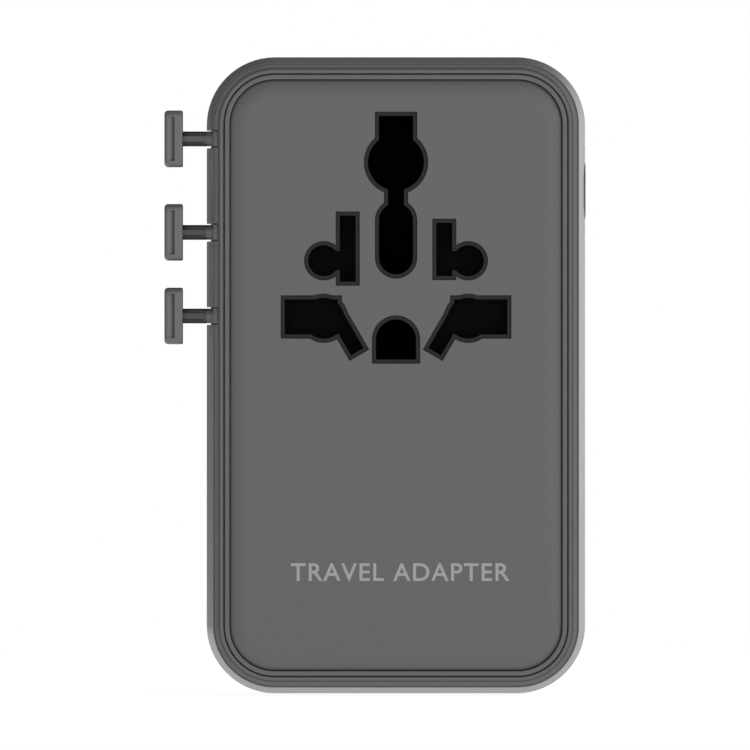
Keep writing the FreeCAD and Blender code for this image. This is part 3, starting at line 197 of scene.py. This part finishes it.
def round_edges(piece, radius, segments, wanted):
    """Rounds the edges whose two ends satisfy wanted."""
    activate(piece)
    bpy.ops.object.mode_set(mode="EDIT")
    bpy.ops.mesh.select_mode(type="EDGE")
    bpy.ops.mesh.select_all(action="DESELECT")
    bpy.ops.object.mode_set(mode="OBJECT")
    points = piece.data.vertices
    for edge in piece.data.edges:
        edge.select = wanted(*(points[number].co for number in edge.vertices))
    bpy.ops.object.mode_set(mode="EDIT")
    bpy.ops.mesh.bevel(offset=radius, segments=segments, affect="EDGES", clamp_overlap=False)
    end_edit()
    return piece


def runs_along(axis):
    """True for an edge parallel to the axis."""
    others = [other for other in range(3) if other != axis]
    return lambda start, end: all(abs(start[other] - end[other]) < 0.001 for other in others)


def lies_at(axis, place):
    """True for an edge in the plane at that place on the axis."""
    return lambda *ends: all(abs(end[axis] - place) < 0.001 for end in ends)


def apply_modifier(piece, kind, **settings):
    """Adds a modifier of that kind with its settings, and applies it."""
    activate(piece)
    modifier = piece.modifiers.new(kind, kind)
    for key, value in settings.items():
        setattr(modifier, key, value)
    bpy.ops.object.modifier_apply(modifier=modifier.name)


def carve(piece, *cutters):
    """Cuts the cutters out of the piece, one after another."""
    for cutter in cutters:
        apply_modifier(piece, "BOOLEAN", object=cutter, operation="DIFFERENCE", solver="EXACT")
        bpy.data.objects.remove(cutter)
    return piece


def keep_within(piece, stock):
    """Keeps only what lies inside the stock."""
    apply_modifier(piece, "BOOLEAN", object=stock, operation="INTERSECT", solver="EXACT")
    bpy.data.objects.remove(stock)
    return piece


def turned(piece, axis, degrees, pivot):
    """Turns the piece about an axis through the pivot."""
    turn = Matrix.Rotation(math.radians(degrees), 4, axis.upper())
    place = Matrix.Translation(Vector(pivot))
    piece.matrix_world = place @ turn @ place.inverted()
    activate(piece)
    bpy.ops.object.transform_apply(location=True, rotation=True, scale=True)
    return piece


def soften(piece, width, angle=40, segments=3):
    """Rounds every edge sharper than the angle."""
    apply_modifier(
        piece, "BEVEL", width=width, segments=segments, limit_method="ANGLE",
        angle_limit=math.radians(angle), use_clamp_overlap=False, loop_slide=True,
    )
    return piece


def finish_piece(piece, body, slot, *nodes, material=None):
    """Turns the piece to metres, smooths it, and hangs it on its body in place of the nodes.

    It takes its slot's material unless it has one of its own.
    """
    activate(piece)
    piece.scale = (MM, MM, MM)
    bpy.ops.object.transform_apply(location=True, rotation=True, scale=True)
    bpy.ops.object.shade_smooth_by_angle(angle=math.radians(32))
    apply_modifier(piece, "WEIGHTED_NORMAL", keep_sharp=True)
    piece.data.materials.clear()
    piece.data.materials.append(material or MATERIALS[slot])
    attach(piece, body)
    if nodes:
        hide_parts(*nodes)
    deselect()
    return piece


# ---------------------------------------------------------------- materials


class Flow:
    """One shader socket, used in plain arithmetic."""

    def __init__(self, tree, socket):
        self.tree = tree
        self.socket = socket

    def calculate(self, operation, *others, first=None):
        """A Math node on this socket and the others, and first ahead of it where there is one."""
        node = self.tree.nodes.new("ShaderNodeMath")
        node.operation = operation
        terms = [self, *others] if first is None else [first, self, *others]
        for place, term in enumerate(terms):
            if isinstance(term, Flow):
                self.tree.links.new(term.socket, node.inputs[place])
            else:
                node.inputs[place].default_value = term
        return Flow(self.tree, node.outputs[0])

    def between(self, low, high):
        """The same value, held between two limits."""
        return self.calculate("MAXIMUM", low).calculate("MINIMUM", high)

    def __add__(self, other):
        return self.calculate("ADD", other)

    def __radd__(self, other):
        return self.calculate("ADD", other)

    def __sub__(self, other):
        return self.calculate("SUBTRACT", other)

    def __rsub__(self, other):
        return self.calculate("SUBTRACT", first=other)

    def __mul__(self, other):
        return self.calculate("MULTIPLY", other)

    def __rmul__(self, other):
        return self.calculate("MULTIPLY", other)


class Workbench:
    """A node tree under construction."""

    def __init__(self, tree):
        self.tree = tree

    def link(self, value, socket):
        """Links a socket or a Flow to the socket, or sets it to a plain value."""
        if isinstance(value, Flow):
            self.tree.links.new(value.socket, socket)
        elif isinstance(value, bpy.types.NodeSocket):
            self.tree.links.new(value, socket)
        else:
            socket.default_value = value

    def node(self, kind, settings=None, numbered=None, **sockets):
        """A node of that kind: its settings first, then its sockets, by number or by name."""
        made = self.tree.nodes.new(kind)
        for key, value in (settings or {}).items():
            setattr(made, key, value)
        for number, value in (numbered or {}).items():
            self.link(value, made.inputs[number])
        for key, value in sockets.items():
            self.link(value, made.inputs[key.replace("_", " ")])
        return made


class Finish(Workbench):
    """A material under construction, with its shader and the piece's own coordinates."""

    def __init__(self, name, **constants):
        self.material = bpy.data.materials.new(name)
        self.material.use_nodes = True
        super().__init__(self.material.node_tree)
        self.shader = self.tree.nodes["Principled BSDF"]
        self.shader_sockets(**constants)
        self.place = self.node("ShaderNodeTexCoord").outputs["Object"]

    def noise(self, scale, detail=3.0, roughness=0.5):
        """Cloudy noise over the piece; scale is in cycles per metre."""
        made = self.node(
            "ShaderNodeTexNoise", Vector=self.place, Scale=scale, Detail=detail, Roughness=roughness
        )
        return Flow(self.tree, made.outputs["Fac"])

    def mix(self, amount, low, high):
        """One colour blended into another."""
        colours = {6: (*low, 1.0), 7: (*high, 1.0)}
        return self.node("ShaderNodeMix", {"data_type": "RGBA"}, {0: amount, **colours}).outputs[2]

    def shader_sockets(self, **sockets):
        """Sets or links the shader's own sockets."""
        for key, value in sockets.items():
            self.link(value, self.shader.inputs[key.replace("_", " ")])

    def grain(self, height, strength, distance):
        """A fine relief on the surface."""
        bump = self.node("ShaderNodeBump", Strength=strength, Distance=distance, Height=height)
        self.shader_sockets(Normal=bump.outputs["Normal"])


def moulded_plastic(name, colour, roughness, grain=0.25, mottle=0.05, gloss=1.5):
    """Satin moulded plastic: spark-eroded grain, a little mottling, and faint handling marks."""
    finish = Finish(name, IOR=gloss)
    fine = finish.noise(9000, 2.0)
    cloud = finish.noise(140, 3.0)
    light = tuple(level * (1 + mottle) for level in colour)
    dark = tuple(level * (1 - mottle) for level in colour)
    marks = finish.noise(600, 4.0, 0.65)
    finish.shader_sockets(
        Base_Color=finish.mix(cloud * 0.6 + marks * 0.4, dark, light),
        Roughness=roughness - 0.06 + cloud * 0.06 + marks * 0.06,
    )
    finish.grain(fine, grain, 0.00003)
    return finish.material


def stem_plastic(slider):
    """Knob plastic for a stem, with shade painted on: its tone is darker on the lower two sliders,
    and black fades in away from its middle rib, over the channels and the top and bottom edges.
    """
    level = STEM_TONE_AND_SHADE[slider]
    rib_colour, black = (level, level, level * 1.02), (0.004, 0.004, 0.004)
    starts, fades_over = 0.30 * MM, 0.18 * MM
    finish = Finish(f"{slider} stem plastic", IOR=1.5)
    split = finish.node("ShaderNodeSeparateXYZ", Vector=finish.place)
    height = Flow(finish.tree, split.outputs["Z"])
    off_middle = (height - KNOB_Z[slider] * MM).calculate("ABSOLUTE")
    # Painted shade: black from 0.30 mm off the stem's middle, full by 0.48 mm, with a little noise
    # at its border.
    edge = ((off_middle - starts) * (1 / fades_over)).between(0, 1)
    painted_shade = (edge + finish.noise(900) * 0.2 - 0.1).between(0, 1)
    finish.shader_sockets(
        Base_Color=finish.mix(painted_shade, rib_colour, black),
        Roughness=0.34 + finish.noise(600) * 0.1,
    )
    finish.grain(finish.noise(9000, 2.0), 0.2, 0.00003)
    return finish.material


def bright_metal(name, colour, roughness, scratches=0.08):
    """Drawn or plated metal with faint streaks."""
    finish = Finish(name, Metallic=1.0)
    drawn = finish.node("ShaderNodeMapping", Vector=finish.place, Scale=(900, 60, 900))
    streaks = finish.node(
        "ShaderNodeTexNoise", Vector=drawn.outputs["Vector"], Scale=3.0, Detail=4.0
    )
    streak = Flow(finish.tree, streaks.outputs["Fac"])
    cloud = finish.noise(300, 3.0)
    dark = tuple(level * 0.86 for level in colour)
    finish.shader_sockets(
        Base_Color=finish.mix(cloud, dark, colour),
        Roughness=roughness + streak * scratches + cloud * scratches - scratches,
    )
    finish.grain(streak, 0.1, 0.00002)
    return finish.material


# Each stem's base tone: the uk one is the knob plastic's own, while the eu and us ones are darker
# as painted shade.
STEM_TONE_AND_SHADE = {"uk": 0.085, "eu": 0.055, "us": 0.055}
MATERIALS = {
    "shell_grey": moulded_plastic("housing plastic", (0.085, 0.085, 0.086), 0.36, gloss=1.6),
    "control_grey": moulded_plastic("knob plastic", (0.085, 0.085, 0.087), 0.3, gloss=1.7),
    "print": moulded_plastic("light print", (0.33, 0.33, 0.33), 0.5),
    "fuse_door_grey": moulded_plastic("drawer plastic", (0.09, 0.09, 0.092), 0.42),
    "inner_black": moulded_plastic("lining plastic", (0.0075, 0.0075, 0.008), 0.45, gloss=1.35),
    "dark": moulded_plastic("dark inner plastic", (0.001, 0.001, 0.0012), 0.7, gloss=1.15),
    "shutter_black": moulded_plastic("shutter plastic", (0.001, 0.001, 0.0012), 0.6, gloss=1.15),
    "sleeve_black": moulded_plastic("sleeve plastic", (0.012, 0.012, 0.013), 0.4),
    "tongue_plastic": moulded_plastic("tongue plastic", (0.02, 0.02, 0.022), 0.4),
    "board_green": moulded_plastic("solder mask", (0.01, 0.11, 0.04), 0.3),
    "ferrite": moulded_plastic("ferrite", (0.04, 0.04, 0.045), 0.55),
    "copper_tape": moulded_plastic("winding tape", (0.7, 0.45, 0.05), 0.3),
    "film_yellow": moulded_plastic("capacitor box", (0.7, 0.45, 0.08), 0.35),
    "fuse_glass": moulded_plastic("fuse body", (0.6, 0.62, 0.62), 0.2),
    "pin_nickel": bright_metal("nickel plate", (0.74, 0.71, 0.66), 0.24),
    "contact_brass": bright_metal("contact brass", (0.75, 0.53, 0.22), 0.3),
    "spring_steel": bright_metal("spring steel", (0.6, 0.6, 0.6), 0.3),
    "screw_steel": bright_metal("screw zinc", (0.4, 0.4, 0.41), 0.32),
    "port_steel": bright_metal("port steel", (0.62, 0.62, 0.63), 0.28),
    "capacitor_can": bright_metal("capacitor can", (0.5, 0.5, 0.52), 0.35),
    "spreader_aluminium": bright_metal("spreader aluminium", (0.8, 0.8, 0.81), 0.4),
}


def dress_frame():
    """Gives every node of the frame the finish of its slot; two that show inside are dark."""
    for entry in frame["record"]["subparts"]:
        node = frame["nodes"][entry["node"]]
        node.data.materials.clear()
        inside = entry["node"] in ("guide_frame", "lock_plate")
        node.data.materials.append(MATERIALS["dark" if inside else entry["material_slot"]])


# ---------------------------------------------------------------- housing and rim

# The release button and its ring, on the right side.
BUTTON_PLACE = (CREST_Y, 66.35)
RING_RADIUS, RING_GAP, BUTTON_RADIUS, BUTTON_FACE_X = 6.05, 0.2, 3.75, 25.04

# Each USB port's x, y, width, thickness and corner radius, and the gap round it in the foot.
PORT_GAP = 0.175
PORTS = {
    "usb_c_port_1": (-10, -6.5, 8.94, 3.26, 1.6),
    "usb_c_port_2": (10, -6.5, 8.94, 3.26, 1.6),
    "usb_c_port_3": (-10, 6.5, 8.94, 3.26, 1.6),
    "usb_a_port": (10, 6.5, 13.1, 5.72, 0.6),
}


def back_outline(name):
    """The outline of the housing's back and of its cover, at their joint."""
    piece = body_outline(name, JOINT_Y)
    stretch(JOINT_WIDTH / WIDTH)
    return piece


def housing_outside(name):
    """The sleeve's outside, from its back to its rim; edit mode is left open on the rim's face."""
    piece = back_outline(name)
    step(0, JOINT_Y - WAIST_Y)
    step(0, WAIST_Y - CREST_Y)
    stretch(WIDTH / JOINT_WIDTH)
    step(CREST_INSET, CREST_Y - RIM_Y)
    return piece


def round_crest(piece):
    """Rounds the edges where the outside turns, at its crest and its waist."""
    for place in (CREST_Y, WAIST_Y):
        round_edges(piece, CREST_ROUNDING, 4, lies_at(1, place))


def stem_ways(name, x, end=None):
    """Cutters for the three stems, from the front edge back."""
    made = []
    for slider, z in KNOB_Z.items():
        y = (FRONT_Y - 1, SLOT_END[slider] if end is None else end)
        made.append(block(f"{name}_{slider}", x, y, (z - SLOT_HALF, z + SLOT_HALF)))
    return made


def make_housing():
    """The sleeve: a fine ledge where the rim meets it, then a seat for the rim, then its wall."""
    ledge, seat, wall = 0.04, 0.7, 1.6
    ledge_y, seat_y = RIM_Y + 0.3, RIM_Y + 1
    piece = housing_outside("housing_sleeve")
    follow([
        (0, RIM_Y), (ledge, RIM_Y), (ledge, ledge_y), (seat, ledge_y), (seat, seat_y),
        (wall, seat_y), (wall, JOINT_Y),
    ])
    open_and_bridge(piece)
    round_crest(piece)
    cutters = stem_ways("slot", (-26, -21.3))
    cutters.append(rod("button_way", RING_RADIUS + RING_GAP, "x", (21.4, 26), BUTTON_PLACE, 96))
    for name, (x, y, wide, thick, corner) in PORTS.items():
        half_x, half_y = wide / 2 + PORT_GAP, thick / 2 + PORT_GAP
        port = block(name + "_way", (x - half_x, x + half_x), (y - half_y, y + half_y), (-1, 4))
        cutters.append(round_edges(port, corner, 8, runs_along(2)))
    carve(piece, *cutters)
    soften(piece, 0.1)
    return finish_piece(piece, "housing", "shell_grey", "main_housing")


def rim_ring(name):
    """The ring round the socket face, unnotched: a hollow cove outside, a flat band inside."""
    cove_wide, cove_deep, foot, groove_y, inside = 0.56, 0.36, 0.04, FRONT_Y + 0.14, 1.14
    back = RIM_Y + 0.28
    turns = [math.radians(15 * part) for part in range(7)]
    cove = [
        (cove_wide * math.sin(turn), FRONT_Y + foot + cove_deep * math.cos(turn)) for turn in turns
    ]
    groove = [(0.6, groove_y), (0.67, groove_y), (0.69, FRONT_Y)]
    piece = body_outline(name, back, RIM_INSET)
    follow([(0, back), *cove, *groove, (inside, FRONT_Y), (inside, back)])
    open_and_bridge(piece)
    return piece


def make_rim():
    """The rim, notched where the stems' roots pass."""
    piece = rim_ring("front_rim")
    carve(piece, *stem_ways("rim_notch", (-25, -23.45), RIM_Y + 0.5))
    soften(piece, 0.03, angle=60, segments=2)
    return finish_piece(piece, "housing", "shell_grey", "front_bezel")


def make_stem_nose(slider, body):
    """The front of a stem's root, which carries the rim's cove on between the two slits."""
    z = KNOB_Z[slider]
    piece = rim_ring(f"{slider}_nose")
    stock = block("nose_stock", (-24.6, -23.5), (-28.5, -27.0), (z - STEM_HALF, z + STEM_HALF))
    keep_within(piece, stock)
    soften(piece, 0.04, angle=50)
    return finish_piece(piece, body, "control_grey", material=MATERIALS["shell_grey"])


def make_lip():
    """The thin raised lip between the rim and the face."""
    wide = 0.6
    piece = body_outline("face_lip", SEAT_Y, LIP_INSET)
    follow([(0, SEAT_Y), (0, FRONT_Y), (wide, FRONT_Y), (wide, SEAT_Y)])
    open_and_bridge(piece)
    soften(piece, 0.06)
    return finish_piece(piece, "housing", "shell_grey", "face_trim_ring")


# Where both the socket and the plugs have their holes and blades.
EUROPEAN_X, EUROPEAN_Z, AMERICAN_X = 9.5, 57.06, 6.35
AMERICAN_SPAN = {-1: (54.3, 63.0), 1: (55.05, 62.05)}


# ---------------------------------------------------------------- back cover

SCREWS = ((-19, 5.6), (19, 5.6), (-19, 78.4), (19, 78.4))


def way(name, x, z, half_x, half_z, y):
    """A block cutter about a middle in x and z."""
    return block(name, (x - half_x, x + half_x), y, (z - half_z, z + half_z))


def pin_ways(y):
    """Cutters for the pins of the three plugs, which come out through the back."""
    thick, wide, tall = 2.235, 3.425, 4.22
    made = [way("earth_way", 0, 71.9, thick, tall, y)]
    for side in (-1, 1):
        made += [
            way("flat_pin_way", side * 11.11, 49.67, wide, thick, y),
            rod("round_pin_way", 2.65, "y", y, (side * EUROPEAN_X, 62.65), 48),
            rod("turret_way", 3.7, "y", y, (side * AMERICAN_X, 55.9)),
        ]
    return made


def make_back_cover():
    """The back cover: rounded at its back edge, with the pins' openings and the drawer's seat."""
    piece = back_outline("back_cover_shell")
    step(0, JOINT_Y - BACK_Y)
    outwards_and_end()
    round_edges(piece, 1.2, 8, lies_at(1, BACK_Y))
    outside = BACK_Y + 1
    seat = block("drawer_seat", (-12.1, 12.1), (26.7, outside), (34.7, 42.8))
    sinks = [rod("screw_sink", 2.35, "y", (26.4, outside), place, 48) for place in SCREWS]
    through = (JOINT_Y - 1, outside)
    cutters = pin_ways(through)
    cutters.append(block("drawer_way", (-11.2, 11.2), through, (35.6, 41.9)))
    cutters.append(round_edges(seat, 1.3, 8, runs_along(1)))
    carve(piece, *cutters, *sinks)
    soften(piece, 0.1, angle=50)
    return finish_piece(piece, "housing", "shell_grey", "back_cover")


# ---------------------------------------------------------------- socket face


def leaning_block(name, side, grow, y):
    """The slot for a leaning blade, turned about its middle."""
    x, z, half_x, half_z, lean = side * 6.88, 48.2, 0.97, 3.6, 30
    piece = way(name, x, z, half_x + grow, half_z + grow, y)
    return turned(piece, "y", side * lean, (x, 0, z))


def socket_ways(name, side, grow, y):
    """One side's openings: a British slot, an Indian hole, both flat blades, a European hole."""
    low, high = AMERICAN_SPAN[side]
    line = sorted((side * 7.64, side * 14.64))
    blade_x, blade_half = side * AMERICAN_X, 1.05 + grow
    bridge_half = 1.285 + 0.8 * grow
    return [
        block(f"{name}_british", (line[0] - grow, line[1] + grow), y, (47.36 - grow, 51.98 + grow)),
        rod(f"{name}_indian", 2.71 + grow, "y", y, (side * EUROPEAN_X, 49.5)),
        leaning_block(f"{name}_australian", side, grow, y),
        block(f"{name}_american", (blade_x - blade_half, blade_x + blade_half), y,
              (low - grow, high + grow)),
        rod(f"{name}_european", 2.05 + grow, "y", y, (side * EUROPEAN_X, EUROPEAN_Z)),
        block(f"{name}_bridge", sorted((blade_x, side * EUROPEAN_X)), y,
              (EUROPEAN_Z - bridge_half, EUROPEAN_Z + bridge_half)),
    ]


def opening_cutters(name, grow, y):
    """Every opening of the socket face, each way wider by grow."""
    low_earth, middle, neck, round_earth = 2.64 + grow, 2.245 + grow, 1.055 + grow, 3.7 + grow
    british_earth = 2.25 + grow
    return [
        *socket_ways(f"{name}_left", -1, grow, y),
        *socket_ways(f"{name}_right", 1, grow, y),
        block(f"{name}_low_earth", (-low_earth, low_earth), y, (44.06 - grow, 46.7)),
        rod(f"{name}_low_arch", low_earth, "y", y, (0, 46.7)),
        block(f"{name}_middle", (-middle, middle), y, (57.5, 62.4)),
        rod(f"{name}_middle_foot", middle, "y", y, (0, 57.5)),
        rod(f"{name}_middle_head", middle, "y", y, (0, 62.4)),
        block(f"{name}_neck", (-neck, neck), y, (62.4, 70.0)),
        rod(f"{name}_round_earth", round_earth, "y", y, (0, 70.0)),
        block(f"{name}_british_earth", (-british_earth, british_earth), y,
              (67.62 - grow, 76.12 + grow)),
    ]


def make_face():
    """The socket face: flat in the middle, easing back at its edge, with room for the lining."""
    edge, drop, front, lining = 2.4, 0.45, FRONT_Y + 0.05, 0.52
    piece = body_outline("socket_face", SEAT_Y, FACE_INSET)
    crown = [(edge * part / 8, front + drop * (1 - part / 8) ** 2) for part in range(9)]
    follow([(0, SEAT_Y), *crown])
    outwards_and_end()
    carve(piece, *opening_cutters("face", lining, (-29, -26)))
    soften(piece, 0.06, angle=50)
    return finish_piece(piece, "housing", "shell_grey", "face_plate")


def make_print():
    """Plain generic words, printed near the foot of the face."""
    deselect()
    bpy.ops.object.text_add(location=(0.5, -27.958, 15.0), rotation=(math.pi / 2, 0, 0))
    words = bpy.context.object
    words.data.body = "TRAVEL ADAPTER"
    words.data.align_x = "CENTER"
    words.data.size = 3.3
    words.data.offset = 0.035
    words.data.space_character = 1.1
    words.data.extrude = 0.01
    bpy.ops.object.convert(target="MESH")
    piece = named("face_print")
    start_edit(piece)
    bpy.ops.mesh.remove_doubles(threshold=0.001)
    outwards_and_end()
    return finish_piece(piece, "housing", "shell_grey", material=MATERIALS["print"])


# ---------------------------------------------------------------- controls


def make_knob(slider, body):
    """A grip: a crowned cap that slopes into a crease, then a flat lip."""
    z = KNOB_Z[slider]
    outer, inner, front = -30.46, -28.05, -27.0
    grip = block(f"{slider}_grip", (outer, inner), (front, -18.0), (z - GRIP_HALF, z + GRIP_HALF))
    round_edges(grip, 0.8, 8, runs_along(0))
    round_edges(grip, 0.5, 6, lies_at(0, outer))
    round_edges(grip, 0.2, 4, lies_at(0, inner))
    slope = block("slope", (-30.05, -29.2), (-28.0, -26.99), (z - 2.9, z + 2.9))
    round_edges(slope, 0.3, 5, lambda *ends: (
        all(end.y > front for end in ends) and ends[0].z == ends[1].z
    ))
    turned(slope, "z", 27, (-30.05, -27.02, 0))
    cutters = [slope]
    for y in (-24.7, -22.5, -20.3):
        groove = block("groove", (-31, -30.2), (y - 0.35, y + 0.35), (z - 2.3, z + 2.3))
        cutters.append(round_edges(groove, 0.33, 6, runs_along(0)))
    carve(grip, *cutters)
    return finish_piece(grip, body, "control_grey", f"{slider}_knob")


def make_stem(slider, body):
    """The stem between the grip and its slot: a raised middle rib with a channel on each side."""
    z = KNOB_Z[slider]
    stem = block(f"{slider}_stem", (-28.1, -24.9), (-25.6, -19.4), (z - STEM_HALF, z + STEM_HALF))
    round_edges(stem, 0.3, 5, runs_along(0))
    channels = [
        block("channel", (-29, -24), (-26.2, -25.3), (z + low, z + high))
        for low, high in ((-0.85, -0.42), (0.38, 0.78))
    ]
    carve(stem, *channels)
    soften(stem, 0.06, angle=50)
    return finish_piece(stem, body, "control_grey", material=stem_plastic(slider))


def make_button_ring():
    """The ring round the button follows the housing's outside, behind a fine gap."""
    piece = housing_outside("button_ring")
    outwards_and_end()
    round_crest(piece)
    keep_within(piece, rod("ring_stock", RING_RADIUS, "x", (22.5, 26), BUTTON_PLACE, 96))
    carve(piece, rod("ring_bore", BUTTON_RADIUS + 0.08, "x", (20, 27), BUTTON_PLACE, 96))
    soften(piece, 0.1)
    return finish_piece(piece, "housing", "shell_grey", "release_ring")


def make_button():
    """The push button, dished in two fine steps."""
    piece = rod("push_button", BUTTON_RADIUS, "x", (21.6, BUTTON_FACE_X), BUTTON_PLACE, 96)
    round_edges(piece, 0.12, 4, lies_at(0, BUTTON_FACE_X))
    start_edit(piece, lambda centre, normal: normal.x > 0.999)
    bpy.ops.mesh.inset(thickness=0.4, depth=0)
    bpy.ops.mesh.inset(thickness=0.6, depth=-0.08)
    bpy.ops.mesh.inset(thickness=1.2, depth=-0.05)
    end_edit()
    return finish_piece(piece, "button", "control_grey", "release_button")


def make_shutter_spring(node):
    """A shutter's return spring, copied from its node and hung on the housing in place of it."""
    piece = bpy.data.objects.new(node + "_coil", frame["nodes"][node].data.copy())
    bpy.context.scene.collection.objects.link(piece)
    piece.scale = (1 / MM, 1 / MM, 1 / MM)
    activate(piece)
    bpy.ops.object.transform_apply(location=True, rotation=True, scale=True)
    start_edit(piece)
    bpy.ops.mesh.remove_doubles(threshold=0.001)
    end_edit()
    finish_piece(piece, "housing", "spring_steel", node)
    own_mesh(piece)
    return piece


# ---------------------------------------------------------------- studio


WHITE = (1, 1, 1, 1)


def make_world():
    """White behind the object, and soft light that is strongest from the right and from below."""
    world = bpy.data.worlds.new("studio")
    bpy.context.scene.world = world
    world.use_nodes = True
    world.node_tree.nodes.clear()
    studio = Workbench(world.node_tree)
    direction = studio.node("ShaderNodeTexCoord").outputs["Generated"]
    split = studio.node("ShaderNodeSeparateXYZ", Vector=direction)
    x, y, z = (Flow(studio.tree, split.outputs[axis]) for axis in "XYZ")
    # In front of the face: a lamp straight ahead, and a slope of light down to the right.
    lamp = (y * -4 - 3).between(0, 1)
    ahead = (x * 0.9 - z * 1.1 + 1.12).between(0.42, 1.5) + lamp * 0.28
    # Behind the face, where the sides look: the same slope, but steeper.
    behind = (x * 2.5 - z * 3.3 + 0.71).between(0.12, 1.45)
    level = ahead + (behind - ahead) * (y * 2).between(0, 1)
    light = studio.node("ShaderNodeBackground", Color=WHITE, Strength=level)
    white = studio.node("ShaderNodeBackground", Color=WHITE, Strength=1.0)
    seen = studio.node("ShaderNodeLightPath").outputs["Is Camera Ray"]
    shown = studio.node(
        "ShaderNodeMixShader", None, {0: seen, 1: light.outputs[0], 2: white.outputs[0]}
    )
    studio.node("ShaderNodeOutputWorld", Surface=shown.outputs[0])


def make_floor():
    """A pale floor that glows a little, so that only a faint shadow shows on it."""
    deselect()
    bpy.ops.mesh.primitive_plane_add(size=1.2, location=(0, 0, -0.0002))
    floor = named("floor")
    finish = Finish("floor white", Roughness=0.9, Emission_Color=WHITE, Emission_Strength=0.90)
    cloud = finish.noise(20, 2.0)
    finish.shader_sockets(Base_Color=finish.mix(cloud, (0.30, 0.30, 0.30), (0.32, 0.32, 0.32)))
    floor.data.materials.append(finish.material)


def make_camera():
    """Level with the middle of the frame, square to the socket face, through a very long lens."""
    data = bpy.data.cameras.new("camera")
    data.lens = 1600
    data.sensor_width = 36
    data.clip_end = 60
    camera = bpy.data.objects.new("camera", data)
    bpy.context.scene.collection.objects.link(camera)
    view_width = 0.750 / 7.607
    distance = view_width * data.lens / data.sensor_width
    camera.location = (-0.00276, FRONT_Y * MM - distance, 0.042035)
    camera.rotation_euler = (math.pi / 2, 0, 0)
    bpy.context.scene.camera = camera
    bpy.context.scene.view_settings.view_transform = "Standard"


dress_frame()
make_world()
make_floor()
make_camera()
make_housing()
make_rim()
make_back_cover()
make_lip()
make_face()
make_print()
for slider in KNOB_Z:
    make_knob(slider, f"{slider}_slider")
    make_stem(slider, f"{slider}_slider")
    make_stem_nose(slider, f"{slider}_slider")
make_button_ring()
make_button()
make_shutter_spring("lower_shutter_spring")
for side in ("left", "right"):
    node, joint = f"upper_shutter_spring_{side}", f"upper_{side}_shutter_open"
    make_shutter_spring(node)
